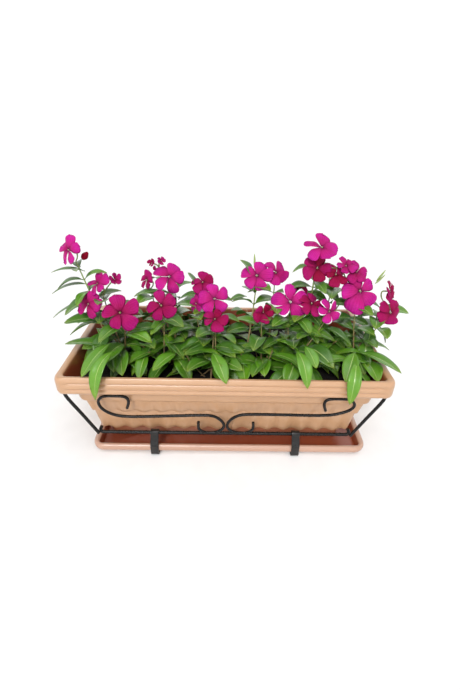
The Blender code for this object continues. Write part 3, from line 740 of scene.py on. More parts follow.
# Scroll knots from the outer curl to the middle loop: distance out, then height on the left
# and on the right, where the long run lies a little higher
SCROLL_KNOTS = (
    (0.1545, 0.0930, 0.0930), (0.1510, 0.1040, 0.1040), (0.1520, 0.1125, 0.1125),
    (0.1590, 0.1165, 0.1165), (0.1740, 0.1172, 0.1172), (0.1890, 0.1155, 0.1155),
    (0.1972, 0.1060, 0.1065), (0.1940, 0.0920, 0.0965), (0.1810, 0.0812, 0.0890),
    (0.1630, 0.0760, 0.0840), (0.1350, 0.0757, 0.0826), (0.0900, 0.0777, 0.0832),
    (0.0400, 0.0800, 0.0832), (0.0200, 0.0785, 0.0803), (0.0070, 0.0690, 0.0700),
    (0.0026, 0.0580, 0.0580), (0.0080, 0.0480, 0.0480), (0.0200, 0.0428, 0.0428),
    (0.0340, 0.0432, 0.0432), (0.0425, 0.0495, 0.0495), (0.0440, 0.0580, 0.0580),
    (0.0435, 0.0660, 0.0660),
)


def scroll_path(side):
    """An S: an open curl at the outer end, a long run, and a loop against the middle."""
    return smooth_path([
        (x, SCROLL_Y, right_z) if side > 0 else (-x * LEFT_SCROLL_REACH, SCROLL_Y, left_z)
        for x, left_z, right_z in SCROLL_KNOTS
    ])


def build_wires(enamel):
    def add(node, path, radius, closed=False):
        link(wire(f"{node}_wire", path, radius, closed), enamel, "holder", [node])

    add("front_rod", rod_path(), ROD_RADIUS)
    x, y = HOOP_X, HOOP_Y
    corners = [(x, -y, HOOP_Z), (x, y, HOOP_Z), (-x, y, HOOP_Z), (-x, -y, HOOP_Z)]
    add("rim_hoop", rounded_path(corners, HOOP_BEND, closed=True), STAY_RADIUS, closed=True)
    for word, side in (("left", -1), ("right", 1)):
        add(f"stay_{word}", stay_path(side), STAY_RADIUS)
        add(f"scroll_{word}", scroll_path(side), SCROLL_RADIUS)


def bar_centre_line():
    """Over the rod, down before the tray, under it, up behind the trough and over a rail."""
    half = BAR_THICKNESS / 2
    wrap = ROD_RADIUS + WELD_GAP + half
    front_y = TRAY_LOW.y - MIDDLE.y - WELD_GAP - half
    lip_y = BAR_BACK_Y + RAIL_GAP + BAR_THICKNESS
    path = [Vector((0, ROD_Y + wrap, ROD_Z - 0.006))]
    for degrees in range(0, 181, 15):
        angle = math.radians(degrees)
        path.append(Vector((0, ROD_Y + wrap * math.cos(angle), ROD_Z + wrap * math.sin(angle))))
    corners = [
        (0, ROD_Y - wrap, ROD_Z - 0.002),
        (0, front_y, 0.0215),
        (0, front_y, half),
        (0, BAR_BACK_Y, half),
        (0, BAR_BACK_Y, RAIL_HOOK_TOP),
        (0, lip_y, RAIL_HOOK_TOP),
        (0, lip_y, RAIL_HOOK_TOP - RAIL_LIP_LENGTH),
    ]
    return path + rounded_path(corners, 0.0045, 7)


def bar_outline():
    """The bar's section with its rounded edges, as pairs: across the bar and through it."""
    outline = []
    for side_x, side_n in ((-1, 1), (1, 1), (1, -1), (-1, -1)):
        hub_x = side_x * (BAR_WIDTH / 2 - BAR_EDGE)
        hub_n = side_n * (BAR_THICKNESS / 2 - BAR_EDGE)
        for step in (-1, 0, 1):
            angle = math.atan2(side_n, side_x) - step * math.pi / 4
            outline.append((hub_x + BAR_EDGE * math.cos(angle), hub_n + BAR_EDGE * math.sin(angle)))
    return outline


def build_bars(enamel):
    """Flat bars swept along the centre line."""
    path = bar_centre_line()
    outline = bar_outline()
    for word, side in (("left", -1), ("right", 1)):
        rings = []
        for i, here in enumerate(path):
            tangent = tangent_at(path, i)
            normal = Vector((0.0, -tangent.z, tangent.y))
            rings.append([
                Vector((side * BAR_X + across, here.y, here.z)) + normal * off
                for across, off in outline
            ])
        bar = loft(f"hanger_bar_{word}_strip", rings)
        link(bar, enamel, "holder", [f"hanger_bar_{word}"])


# ---------------------------------------------------------------------------------- soil


def hash_noise(x, y, seed):
    """A value between 0 and 1 that belongs to a lattice point."""
    value = math.sin(x * 127.1 + y * 311.7 + seed * 74.7) * 43758.5453
    return value - math.floor(value)


def value_noise(x, y, seed):
    """Smooth noise between 0 and 1 on a unit lattice."""
    ix, iy = math.floor(x), math.floor(y)
    fx, fy = x - ix, y - iy
    fx, fy = fx * fx * (3 - 2 * fx), fy * fy * (3 - 2 * fy)
    low = hash_noise(ix, iy, seed) * (1 - fx) + hash_noise(ix + 1, iy, seed) * fx
    high = hash_noise(ix, iy + 1, seed) * (1 - fx) + hash_noise(ix + 1, iy + 1, seed) * fx
    return low * (1 - fy) + high * fy


def soil_height(x, y):
    """The soil's lumpy surface."""
    lumps = value_noise(x * 45, y * 45, 1) * 0.006 + value_noise(x * 140, y * 140, 2) * 0.0032
    grit = value_noise(x * 420, y * 420, 3) * 0.0012
    return SOIL_TOP - 0.0085 + lumps + grit


def upright(name):
    """An upright tube's centre line and its radius, read from its box."""
    low, high = box_corners(name)
    return (low + high) / 2, (high.x - low.x) / 2


TUBES = (upright("fill_tube"), upright("level_tube"))
SOIL_CELLS = (180, 74)
SOIL_CORNER = 0.020
CRUMB_COUNT = 900
CRUMB_MARGIN = 0.006


def near_tube(point, margin):
    """Whether a place lies within a margin of either tube."""
    return any(
        math.hypot(point.x - centre.x, point.y - centre.y) < radius + margin
        for centre, radius in TUBES
    )


def soil_block(half_x, half_y):
    """A closed block with a lumpy top and rounded corners, narrower at its foot."""
    points, faces = [], []
    nx, ny = SOIL_CELLS
    inner_x, inner_y = half_x - SOIL_CORNER, half_y - SOIL_CORNER
    for j in range(ny + 1):
        for i in range(nx + 1):
            x = half_x * (2 * i / nx - 1)
            y = half_y * (2 * j / ny - 1)
            over_x, over_y = abs(x) - inner_x, abs(y) - inner_y
            if over_x > 0 and over_y > 0:
                reach = math.hypot(over_x, over_y)
                limit = min(SOIL_CORNER, reach)
                x = math.copysign(inner_x + over_x / reach * limit, x)
                y = math.copysign(inner_y + over_y / reach * limit, y)
            points.append(shift((x, y, soil_height(x, y))))
    width = nx + 1
    for j in range(ny):
        for i in range(nx):
            a = j * width + i
            faces.append((a, a + 1, a + width + 1, a + width))
    border = list(range(width))
    border += [j * width + nx for j in range(1, ny + 1)]
    border += [ny * width + i for i in range(nx - 1, -1, -1)]
    border += [j * width for j in range(ny - 1, 0, -1)]
    first, count = len(points), len(border)
    for index in border:
        x, y = points[index].x - MIDDLE.x, points[index].y - MIDDLE.y
        points.append(shift((x * 0.912, y * 0.905, SOIL_LOW.z + 0.033)))
    for k in range(count):
        n = (k + 1) % count
        faces.append((border[n], border[k], first + k, first + n))
    faces.append(tuple(first + count - 1 - k for k in range(count)))
    mesh = new_mesh("soil_bed", points, faces)
    mesh.shade_smooth()
    return bpy.data.objects.new("soil_bed", mesh)


def build_soil(earth, rng):
    """The soil, bored for the two tubes, with loose crumbs on it."""
    half_x = (SOIL_HIGH.x - SOIL_LOW.x) / 2 - 0.0045
    half_y = (SOIL_HIGH.y - SOIL_LOW.y) / 2 - 0.0040
    soil = soil_block(half_x, half_y)
    link(soil, earth, "planting", ["potting_soil"])
    for centre, radius in TUBES:
        bore(soil, centre.x, centre.y, SOIL_LOW.z - 0.01, SOIL_TOP + 0.02, radius + 0.0008)
    crumbs = Growth()
    for _ in range(CRUMB_COUNT):
        x = rng.uniform(-half_x + CRUMB_MARGIN, half_x - CRUMB_MARGIN)
        y = rng.uniform(-half_y + CRUMB_MARGIN, half_y - CRUMB_MARGIN)
        size = rng.uniform(0.0008, 0.0026)
        if not near_tube(shift((x, y, 0.0)), 0.003):
            add_crumb(crumbs, Vector((x, y, soil_height(x, y) + size * 0.3)), size, rng)
    link(crumbs.build("soil_crumbs"), earth, "planting")


def add_crumb(growth, centre, size, rng):
    """A rough lump: an octahedron with its corners pulled about."""
    first = len(growth.points)
    for axis in ((1, 0, 0), (0, 1, 0), (-1, 0, 0), (0, -1, 0), (0, 0, 1), (0, 0, -1)):
        jitter = Vector((rng.uniform(-0.3, 0.3) for _ in range(3)))
        growth.points.append(centre + (Vector(axis) + jitter) * size)
        growth.coords.append((0.0, 0.0))
        growth.tones.append(0.5)
    for k in range(4):
        n = (k + 1) % 4
        growth.faces.append((first + k, first + n, first + 4))
        growth.faces.append((first + n, first + k, first + 5))


# -------------------------------------------------------------------------------- plants

UP = Vector((0.0, 0.0, 1.0))
LEAF_STATIONS = [step / 12 for step in range(13)]
LEAF_ACROSS = (-1.0, -0.66, -0.33, 0.0, 0.33, 0.66, 1.0)
LEAF_GROWTH = 1.22
RIM_INNER_X, RIM_INNER_Y = 0.2375, 0.1045
RIM_RAMP = 0.012
GAUGE_CLEARANCE = 0.172  # below this height, blades keep clear of the two tubes
TOP_LEAF_SHARE = 0.74  # a shoot's last leaves against its first
PETAL_COUNT = 5
LEAF_THICKNESS, PETAL_THICKNESS = 0.0004, 0.0003


def lift_over(point):
    """Keep a blade above the soil, and over the rim where it crosses it."""
    x, y = abs(point.x), abs(point.y)
    beyond = max(x - RIM_INNER_X, y - RIM_INNER_Y)
    outside = max(x - RIM_X, y - RIM_Y)
    if outside > 0.0025:
        return point
    least = SOIL_TOP - 0.001
    if beyond > -RIM_RAMP:
        share = min(1.0, (beyond + RIM_RAMP) / RIM_RAMP)
        least = SOIL_TOP + 0.004 + (RIM_TOP + 0.0022 - SOIL_TOP - 0.004) * share
    return Vector((point.x, point.y, least)) if point.z < least else point


def add_leaf(leaves, base, tip, width, tone, rng, arch, roll=0.0, fold=0.28):
    """One blade from its stalk at the base to its tip, arched, folded along the midrib."""
    base, tip = Vector(base), Vector(tip)
    chord = tip - base
    length = chord.length
    for step in range(1, 9):
        spot = base + chord * step / 8
        if spot.z < GAUGE_CLEARANCE and near_tube(shift(spot), width / 2 + 0.002):
            return
    across = chord.cross(UP)
    if across.length < 0.2 * length:
        across = chord.cross(Vector((0.0, -1.0, 0.15)))
    across.normalize()
    across = Matrix.Rotation(roll, 3, chord.normalized()) @ across
    rise = across.cross(chord).normalized()
    if rise.z < 0:
        rise, across = -rise, -across
    phase = rng.uniform(0, 6.28)
    ripple = rng.uniform(0.03, 0.09)
    rows = []
    for v in LEAF_STATIONS:
        spine = base + chord * v + rise * (arch * length * 4 * v * (1 - v) * (1.15 - 0.3 * v))
        blade = max(0.0, (v - 0.07) / 0.93)
        half = width / 2 * math.sin(math.pi * min(1.0, blade) ** 0.95) ** 0.66 if blade > 0 else 0.0
        half = max(half, 0.0009 if v < 0.5 else 0.0002)
        row = []
        for u in LEAF_ACROSS:
            wave = ripple * math.sin(v * 10 + phase + (1.5 if u > 0 else 0.0)) * u * u
            off = half * (fold * abs(u) ** 1.3 + wave) - (0.0004 if u == 0 else 0.0)
            row.append(lift_over(spine + across * (u * half) + rise * off))
        rows.append(row)
    leaves.grid(rows, LEAF_ACROSS, LEAF_STATIONS, tone)


def shoot_path(root, tip, bow):
    """From the soil up to the shoot's tip, bowing outwards before it turns up."""
    root, tip = Vector(root), Vector(tip)
    span = tip - root
    flat = Vector((span.x, span.y, 0.0))
    low = root + span * 0.33 + flat * bow * 0.6
    return smooth_path([root, low, root + span * 0.66 + flat * bow, tip])


def metres(lengths):
    """Lengths of the tables, which are in millimetres."""
    return [length / 1000 for length in lengths]


def along(path, share):
    """The point and the direction at a share of the path's points."""
    place = share * (len(path) - 1)
    i = min(int(place), len(path) - 2)
    point = path[i].lerp(path[i + 1], place - i)
    return point, (path[i + 1] - path[i]).normalized()


def grow_shoot(plant, root, tip, rng, pairs, leaf, turn, tone):
    """A stem with crossed pairs of leaves, largest low down and smaller at the tip."""
    path = shoot_path(root, tip, rng.uniform(0.02, 0.14))
    count = len(path)
    height = path[-1].z - path[0].z
    thick = 0.0011 + 0.0045 * min(0.2, height)
    radii = [thick * (1 - 0.5 * i / (count - 1)) for i in range(count)]
    reach = [min(1.0, 0.1 + 0.9 * (p.z - SOIL_TOP) / 0.13) for p in path]
    plant["stems"].tube(path, radii, reach)
    if tip[2] < 0.20:
        pairs = max(3, pairs - 1)
    for k in range(pairs):
        share = 0.16 + 0.82 * (k + 0.5) / pairs
        point, direction = along(path, min(share, 0.985))
        side_a = direction.cross(Vector((0.0, 1.0, 0.0)))
        if side_a.length < 0.2:
            side_a = direction.cross(Vector((1.0, 0.0, 0.0)))
        side_a.normalize()
        side_b = direction.cross(side_a)
        angle = turn + k * math.pi / 2 + rng.uniform(-0.35, 0.35)
        shrink = 1.0 - (1.0 - TOP_LEAF_SHARE) * share**1.4
        size = leaf * LEAF_GROWTH * shrink * rng.uniform(0.88, 1.1)
        lean = math.radians(86 - 16 * share) + rng.uniform(-0.15, 0.15)
        for flip in (0.0, math.pi):
            out = side_a * math.cos(angle + flip) + side_b * math.sin(angle + flip)
            aim = direction * math.cos(lean) + out * math.sin(lean)
            droop = (0.42 - 0.14 * share) * rng.uniform(0.6, 1.4)
            end = keep_inside(point + aim.normalized() * size - UP * (size * droop))
            shade = min(1.0, max(0.0, tone + rng.uniform(-0.35, 0.35)))
            add_leaf(plant["leaves"], point, end, size * rng.uniform(0.37, 0.46), shade, rng,
                     arch=rng.uniform(0.08, 0.2), roll=rng.uniform(-0.35, 0.35))
    return path


REACH_X, REACH_Y = 0.296, 0.146


def keep_inside(point):
    """Leaf tips stay within the planting's own space, and low ones within the rim."""
    over_rim = point.z > RIM_TOP + 0.010
    reach_x = REACH_X if over_rim else RIM_INNER_X - 0.010
    reach_y = REACH_Y if over_rim else RIM_INNER_Y - 0.006
    x = max(-reach_x, min(reach_x, point.x))
    y = max(-reach_y, min(reach_y, point.y))
    return Vector((x, y, max(SOIL_TOP, point.z)))


PETAL_STATIONS = (0.0, 0.10, 0.22, 0.36, 0.50, 0.63, 0.75, 0.85, 0.92, 0.97, 1.0)
PETAL_ACROSS = (-1.0, -0.75, -0.4, 0.0, 0.4, 0.75, 1.0)
PETAL_BROADEST = 0.75
EYE_RADII = (0.0004, 0.0006, 0.0007, 0.0006, 0.0004)


def petal_half_width(v, radius):
    """Narrow at the throat, broadest three quarters of the way out, then a blunt end."""
    if v < PETAL_BROADEST:
        return radius * (0.055 + 0.415 * math.sin(math.pi / 2 * v / PETAL_BROADEST) ** 1.05)
    past = (v - PETAL_BROADEST) / (1 - PETAL_BROADEST)
    return radius * 0.47 * math.sqrt(max(0.0, 1 - past**2.6))


def add_flower(plant, centre, facing, size, tone, rng, stem_from, open_, turn):
    """Five broad petals round a pale eye, on a thin tube that runs back to the shoot."""
    centre = Vector(centre)
    facing = Vector(facing).normalized()
    guide = UP if abs(facing.z) < 0.9 else Vector((0.0, 1.0, 0.0))
    right = facing.cross(guide).normalized()
    top = right.cross(facing)
    radius = size / 2
    for k in range(PETAL_COUNT):
        angle = turn + 2 * math.pi * k / PETAL_COUNT + rng.uniform(-0.11, 0.11)
        out = right * math.cos(angle) + top * math.sin(angle)
        side = facing.cross(out)
        tilt = rng.uniform(-0.18, 0.18)
        bend = rng.uniform(0.4, 1.6)
        own_radius = radius * rng.uniform(0.88, 1.10)
        phase = rng.uniform(0, 6.28)
        slimness = rng.uniform(0.76, 1.04)
        lobe = rng.uniform(-0.10, 0.10)
        rows = []
        for v in PETAL_STATIONS:
            run = own_radius * (0.06 + 0.94 * v)
            fall = own_radius * (0.14 * v - 0.34 * bend * v * v) * open_
            closing = (1.0 - open_) * own_radius * v * 0.9
            half = max(petal_half_width(v, own_radius), 0.0002)
            half *= (0.75 + 0.25 * open_) * slimness
            row = []
            for u in PETAL_ACROSS:
                skew = own_radius * (0.10 * v * v + lobe * v * v)
                frill = 0.06 * math.sin(3.4 * u + phase) * v * v
                wave = own_radius * (frill + 0.025 * math.sin(9 * v + phase))
                twist = u * half * (0.20 + tilt)
                cup = -half * 0.18 * u * u
                ragged = own_radius * 0.035 * math.sin(5.0 * u + 2.0 * phase) * v**3
                spot = centre + out * (run - closing * 0.6 + ragged) + side * (u * half + skew)
                row.append(spot + facing * (fall + closing + wave + twist + cup))
            rows.append(row)
        shade = tone + rng.uniform(-0.15, 0.15)
        if tone <= WHITE_EDGE_TONE:
            shade = min(1.0, max(0.0, shade))
        plant["petals"].grid(rows, PETAL_ACROSS, PETAL_STATIONS, shade)
    eye = [centre + facing * (0.0016 - 0.0032 * i / 4) for i in range(5)]
    plant["eyes"].tube(eye, EYE_RADII, [0.5] * 5, sides=10)
    stem_from = Vector(stem_from)
    back = centre - facing * 0.012
    tube = smooth_path([stem_from, stem_from.lerp(back, 0.5) - facing * 0.003, back, centre], 4)
    count = len(tube)
    radii = [0.0009 + 0.0004 * i / (count - 1) for i in range(count)]
    plant["stems"].tube(tube, radii, [0.85 + 0.1 * i / count for i in range(count)], sides=7)


def add_bud(growth, ends, thick, tone):
    """A closed, pointed bud or pod: a spindle from its base to its tip."""
    base, tip = Vector(metres(ends[:3])), Vector(metres(ends[3:]))
    shares = [i / 8 for i in range(9)]
    path = [base.lerp(tip, share) for share in shares]
    radii = [thick * (0.25 + math.sin(math.pi * share**0.8) * 0.75) for share in shares]
    radii[-1] = thick * 0.12
    growth.tube(path, radii, [tone] * 9)


FRONT = Vector((0.0, -0.82, 0.57))


def front_facing(sideways, lift):
    """A flower's facing: towards the viewer's side, turned sideways and tipped up or down."""
    return (FRONT + Vector((sideways, 0.0, lift))).normalized()


# Places and lengths in these tables are in millimetres. Each plant: its root on the soil, its
# shoots as (tip x, y, z, pairs of leaves, leaf length), and its flowers as (shoot, place x, y, z,
# sideways, lift, width, tone, openness, turn).
PLANTS = (
    ((-170, -30), (
        (-232, -2, 298, 8, 46), (-196, -12, 248, 5, 50), (-206, -24, 222, 4, 52),
        (-160, -36, 215, 4, 54), (-205, 45, 190, 4, 50), (-150, 55, 178, 3, 46),
        (-120, -55, 170, 3, 50),
    ), (
        (0, -236, -6, 310, -0.55, -0.1, 44, 0.85, 0.85, 0.3),
        (1, -199, -14, 260, -0.9, 0.9, 40, 0.7, 0.9, 0.9),
        (2, -212, -30, 233, -0.45, 0.0, 44, 0.6, 1.0, 1.9),
        (3, -160, -48, 229, 0.05, 0.0, 56, 0.45, 1.0, 0.25),
        (1, -176, -2, 262, 0.95, 0.35, 28, 0.4, 0.45, 0.6),
    )),
    ((-98, -34), (
        (-101, -22, 222, 4, 54), (-92, 12, 252, 5, 52), (-128, 20, 244, 4, 50), (-110, 22, 270, 4, 40),
        (-75, -62, 178, 4, 56), (-140, -40, 176, 3, 56), (-85, 62, 182, 4, 48),
    ), (
        (0, -101, -32, 234, 0.05, -0.05, 48, 0.45, 1.0, 0.1),
        (1, -92, 4, 266, 0.1, 0.1, 50, 0.9, 1.0, 0.75),
        (2, -130, 12, 256, -0.85, 0.1, 34, 0.35, 0.75, 0.2),
        (3, -119, 14, 284, -0.6, 0.1, 17, 0.3, 0.55, 0.4),
        (3, -105, 14, 288, 0.5, 0.2, 17, 0.55, 0.6, 1.1),
    )),
    ((-30, -60), (
        (-20, -20, 230, 4, 56), (-19, -42, 206, 4, 56), (-41, 10, 244, 5, 52), (-52, -5, 216, 4, 54),
        (-62, -66, 172, 3, 58), (5, -55, 178, 4, 56), (-20, 60, 184, 4, 50),
    ), (
        (0, -20, -28, 245, 0.05, 0.02, 48, 0.95, 1.0, 0.3),
        (1, -19, -48, 221, 0.02, 0.75, 42, 0.3, 0.85, 0.9),
        (2, -40, 4, 258, -0.1, 0.9, 42, 0.3, 0.9, 0.2),
        (3, -50, -12, 228, -0.6, -0.1, 34, 0.85, 0.9, 1.5),
    )),
    ((45, -58), (
        (45, 2, 262, 6, 52), (75, 10, 262, 5, 50), (54, -30, 216, 4, 58), (20, -60, 180, 4, 58),
        (70, -66, 184, 4, 60), (35, 60, 186, 4, 50),
    ), (
        (0, 44, -6, 275, -0.15, 0.02, 48, 0.9, 1.0, 0.45),
        (1, 74, 4, 277, 0.35, 0.1, 46, 0.7, 0.9, 0.1),
        (2, 54, -40, 230, 0.1, -0.65, 40, 0.25, 0.6, 0.9),
    )),
    ((107, -46), (
        (96, -18, 228, 4, 54), (130, -16, 226, 4, 56), (155, -30, 218, 4, 56), (98, 6, 206, 4, 50),
        (120, -68, 180, 4, 60), (145, 50, 186, 4, 50), (100, -74, 166, 3, 54),
    ), (
        (0, 96, -26, 241, -0.05, 0.05, 56, 1.6, 1.0, 0.35),
        (1, 130, -24, 238, 0.3, 0.45, 44, 0.3, 0.95, 0.9),
        (2, 155, -38, 232, 0.35, -0.1, 44, 1.5, 0.9, 0.2),
        (3, 110, -4, 250, 0.1, 0.9, 38, 0.3, 0.9, 0.6),
    )),
    ((140, 8), (
        (137, 2, 306, 7, 42), (134, -4, 278, 5, 44), (168, 4, 268, 5, 48), (198, 10, 264, 5, 48),
        (172, 60, 190, 4, 48), (175, -40, 186, 4, 56),
    ), (
        (0, 138, -4, 322, -0.1, 1.1, 50, 0.9, 0.95, 0.5),
        (1, 134, -10, 291, 0.0, -0.1, 46, 0.25, 1.0, 0.8),
        (2, 166, -4, 279, 0.35, 0.35, 44, 0.2, 0.85, 0.3),
        (3, 200, 4, 280, 0.5, 0.65, 42, 0.55, 0.9, 0.9),
        (3, 182, 4, 290, 0.2, 0.95, 36, 0.65, 0.8, 0.2),
    )),
    ((196, -34), (
        (206, -8, 242, 5, 52), (254, -2, 238, 5, 48), (252, -14, 208, 4, 52), (196, -66, 172, 4, 58),
        (226, -50, 170, 4, 58), (222, 40, 188, 4, 50),
    ), (
        (0, 205, -14, 256, 0.05, 0.05, 60, 0.85, 1.0, 0.1),
        (1, 256, -4, 252, 0.95, -0.1, 38, 0.3, 0.7, 0.5),
        (2, 258, -20, 222, 0.3, -0.3, 50, 0.3, 0.9, 0.9),
    )),
)

# Single blades that show: plant, base, tip, width, tone and arch
LONE_LEAVES = (
    (0, -220, 0, 274, -272, 0, 271, 11, 0.25, 0.1), (0, -219, 0, 252, -279, 0, 234, 14, 0.2, 0.1),
    (0, -216, -4, 220, -287, 0, 190, 15, 0.25, 0.1), (0, -200, -22, 192, -254, -22, 196, 18, 0.5, 0.1),
    (0, -186, -46, 165, -256, -42, 167, 20, 0.45, 0.1),
    (0, -176, -58, 182, -207, -112, 157, 22, 0.75, 0.1),
    (0, -166, -70, 178, -187, -126, 128, 21, 0.95, 0.3),
    (2, -22, -70, 176, 0, -121, 157, 22, 0.85, 0.1), (4, 104, -70, 182, 116, -122, 151, 21, 0.9, 0.22),
    (4, 118, -64, 186, 132, -96, 168, 20, 0.8, 0.1), (6, 196, -66, 178, 172, -114, 157, 23, 0.7, 0.1),
    (6, 194, -82, 174, 180, -126, 126, 19, 0.95, 0.3), (6, 206, -50, 166, 262, -92, 158, 22, 0.55, 0.1),
    (6, 208, -24, 168, 276, -14, 146, 19, 0.6, 0.1), (6, 240, 0, 196, 274, 2, 150, 10, 0.15, 0.1),
    (3, 38, 4, 262, 18, 10, 294, 21, 0.15, 0.14), (3, 30, 0, 236, 4, -6, 232, 14, 0.3, 0.1),
    (2, -52, 10, 246, -64, 12, 270, 15, 0.1, 0.1), (4, 106, -20, 212, 128, -50, 198, 24, 0.55, 0.16),
    (1, -106, 0, 236, -150, 0, 232, 20, 0.25, 0.14), (1, -80, 4, 226, -36, 4, 232, 19, 0.3, 0.14),
)
# Closed buds: plant, base, tip, thickness and tone
BUDS = (
    (0, -222, 4, 292, -211, 0, 305, 5, 0.0), (1, -118, 20, 270, -116, 16, 279, 2.6, 0.4),
)
# Green seed pods standing over the leaves: plant, base and tip
PODS = (
    (3, 41, 10, 282, 40, 12, 304), (6, 238, 12, 262, 250, 14, 281), (6, 236, 10, 258, 252, 16, 272),
)
POD_THICKNESS = 0.0016
LOW_SHOOT = 0.19
TIP_BACK, TIP_DROP = 0.004, 0.009
FIRST_SEED = 40


def build_plants(leaf, petal, stem, eye):
    grown = []
    for number, (root, shoots, flowers) in enumerate(PLANTS):
        rng = random.Random(FIRST_SEED + number)
        plant = {part: Growth() for part in ("leaves", "petals", "eyes", "stems")}
        root = Vector((*metres(root), SOIL_TOP - 0.004))
        paths = []
        for *tip, pairs, length in shoots:
            x, y, z = metres(tip)
            tip = (x, y + TIP_BACK, z - TIP_DROP)
            start = root + Vector((rng.uniform(-0.020, 0.020), rng.uniform(-0.016, 0.016), 0))
            turn = rng.uniform(0, 3.1)
            tone = 0.62 if tip[2] < LOW_SHOOT else 0.45
            paths.append(grow_shoot(plant, start, tip, rng, pairs, length / 1000, turn, tone))
        for shoot, x, y, z, sideways, lift, width, tone, open_, turn in flowers:
            add_flower(plant, metres((x, y, z)), front_facing(sideways, lift), width / 1000, tone, rng,
                       paths[shoot][-1], open_, turn)
        grown.append((plant, rng))
    for number, *ends, width, tone, arch in LONE_LEAVES:
        plant, rng = grown[number]
        base, tip = metres(ends[:3]), metres(ends[3:])
        add_leaf(plant["leaves"], base, tip, width / 1000, tone, rng, arch, fold=0.22)
    for number, *ends, thick, tone in BUDS:
        add_bud(grown[number][0]["petals"], ends, thick / 1000, tone)
    for number, *ends in PODS:
        add_bud(grown[number][0]["stems"], ends, POD_THICKNESS, 1.0)
    for number, (plant, rng) in enumerate(grown, 1):
        stems = plant["stems"].build(f"plant_{number}_stems")
        link(stems, stem, "planting", [f"plant_{number}_stem"])
        leaves = plant["leaves"].build(f"plant_{number}_leaves", LEAF_THICKNESS)
        link(leaves, leaf, "planting", [f"plant_{number}_foliage"])
        petals = plant["petals"].build(f"plant_{number}_petals", PETAL_THICKNESS)
        link(petals, petal, "planting")
        link(plant["eyes"].build(f"plant_{number}_eyes"), eye, "planting")


# --------------------------------------------------------------------- lights and camera

CAMERA_PLACE = (0.0005, -0.5239, 0.4971)
CAMERA_DOWN = math.radians(29.28)
CAMERA_TURN = math.radians(1.23)
CAMERA_ROLL = math.radians(1.63)
SENSOR = 36.0
LENS = 28.61
LENS_SHIFT = (-0.0102, -0.0673)
SKY_STRENGTH = 0.42


def build_camera():
    data = bpy.data.cameras.new("camera")
    data.sensor_fit = "HORIZONTAL"
    data.sensor_width = SENSOR
    data.lens = LENS
    data.shift_x, data.shift_y = LENS_SHIFT
    data.clip_start = 0.01
    camera = bpy.data.objects.new("camera", data)
    bpy.context.collection.objects.link(camera)
    ahead = Vector((
        math.sin(CAMERA_TURN) * math.cos(CAMERA_DOWN),
        math.cos(CAMERA_TURN) * math.cos(CAMERA_DOWN),
        -math.sin(CAMERA_DOWN),
    ))
    right = ahead.cross(UP).normalized()
    above = right.cross(ahead)
    rolled_right = right * math.cos(CAMERA_ROLL) + above * math.sin(CAMERA_ROLL)
    rolled_above = above * math.cos(CAMERA_ROLL) - right * math.sin(CAMERA_ROLL)
    turn = Matrix((rolled_right, rolled_above, -ahead)).transposed()
    camera.matrix_world = Matrix.Translation(shift(CAMERA_PLACE)) @ turn.to_4x4()
    bpy.context.scene.camera = camera


def sun(name, strength, spread, elevation, bearing):
    """A soft sun; the bearing is counted from straight in front, positive to the right."""
    data = bpy.data.lights.new(name, "SUN")
    data.energy = strength
    data.angle = math.radians(spread)
    lamp = bpy.data.objects.new(name, data)
    bpy.context.collection.objects.link(lamp)
    up, turn = math.radians(elevation), math.radians(bearing)
    place = Vector((math.sin(turn) * math.cos(up), -math.cos(turn) * math.cos(up), math.sin(up)))
    lamp.location = place * 2
    lamp.rotation_euler = (-place).to_track_quat("-Z", "Y").to_euler()


def stage_surface(name, profile, material):
    """A surface of revolution about the upright axis, for the floor and the backdrop."""
    count = 96
    points = [point for radius, z in profile for point in circle(radius, z, count)]
    mesh = new_mesh(name, points, skin(len(profile), count))
    mesh.shade_smooth()
    surface = bpy.data.objects.new(name, mesh)
    bpy.context.collection.objects.link(surface)
    surface.data.materials.append(material)
    return surface


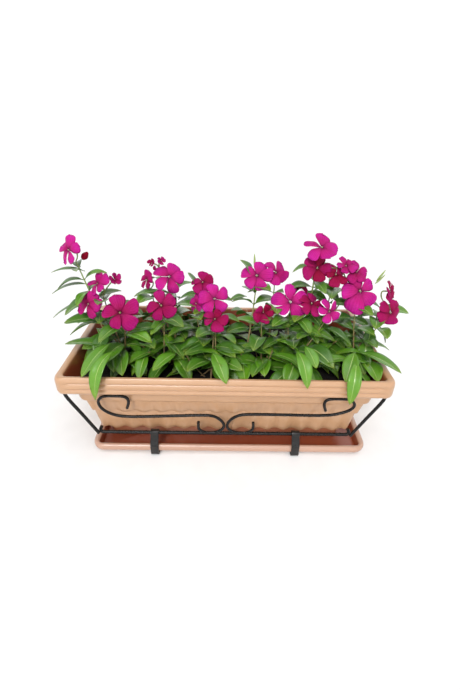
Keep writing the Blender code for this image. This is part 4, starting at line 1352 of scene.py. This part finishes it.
def build_studio():
    """A pale floor that sweeps up into a round backdrop, a dim sky and five soft suns."""
    radius, sweep, height = 7.0, 2.0, 12.0
    profile = [(0.001, 0.0), (radius * 0.5, 0.0), (radius, 0.0)]
    stage_surface("floor", profile, floor_look("pale_floor"))
    profile = []
    for step in range(13):
        angle = math.pi / 2 * step / 12
        profile.append((radius + sweep * math.sin(angle), sweep * (1 - math.cos(angle))))
    profile.append((radius + sweep, height))
    backdrop = stage_surface("backdrop", profile, floor_look("pale_backdrop", 0.6))
    backdrop.visible_shadow = False
    backdrop.visible_diffuse = False
    world = bpy.data.worlds.new("studio")
    world.use_nodes = True
    sky = world.node_tree.nodes["Background"]
    sky.inputs["Color"].default_value = (1.0, 1.0, 1.0, 1.0)
    sky.inputs["Strength"].default_value = SKY_STRENGTH
    bpy.context.scene.world = world
    bpy.context.scene.view_settings.view_transform = "Standard"
    sun("key", 1.66, 14.0, 44.0, -16.0)
    sun("front", 0.36, 20.0, 6.0, 2.0)
    sun("front_left", 0.32, 20.0, 6.0, -24.0)
    sun("front_right", 0.32, 20.0, 6.0, 28.0)
    sun("top", 1.2, 50.0, 76.0, 20.0)


def finish_hidden_pieces(nodes):
    """Looks for the watering pieces, whose own solids stay in view."""
    dark = plastic_look("dark_plastic_moulding", (0.018, 0.018, 0.019), (0.034, 0.034, 0.036), 0.45)
    red = plastic_look("red_indicator_plastic", (0.50, 0.018, 0.012), (0.62, 0.03, 0.02), 0.32)
    steel = steel_look()
    looks = {"lid_pin": steel, "float": red, "level_indicator": red}
    for name in ("drain_plug", "separator_plate", "wick_cup_left", "wick_cup_right", "fill_tube",
                 "level_tube", "fill_lid"):
        looks[name] = dark
    for name, material in looks.items():
        nodes[name].material_slots[0].material = material


def main():
    build_camera()
    build_studio()
    build_trough(terracotta_look("terracotta_plastic", TROUGH_COLOURS))
    build_tray(terracotta_look("terracotta_tray_plastic", TRAY_COLOURS))
    build_wires(black_enamel_look("black_enamel_wire", 0.24, 0.86, 0.3))
    build_bars(black_enamel_look("black_enamel_bar", 0.16, 0.84, 0.5))
    build_soil(soil_look(), random.Random(7))
    build_plants(leaf_look(), petal_look(), stem_look(), eye_look())
    finish_hidden_pieces(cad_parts)


main()
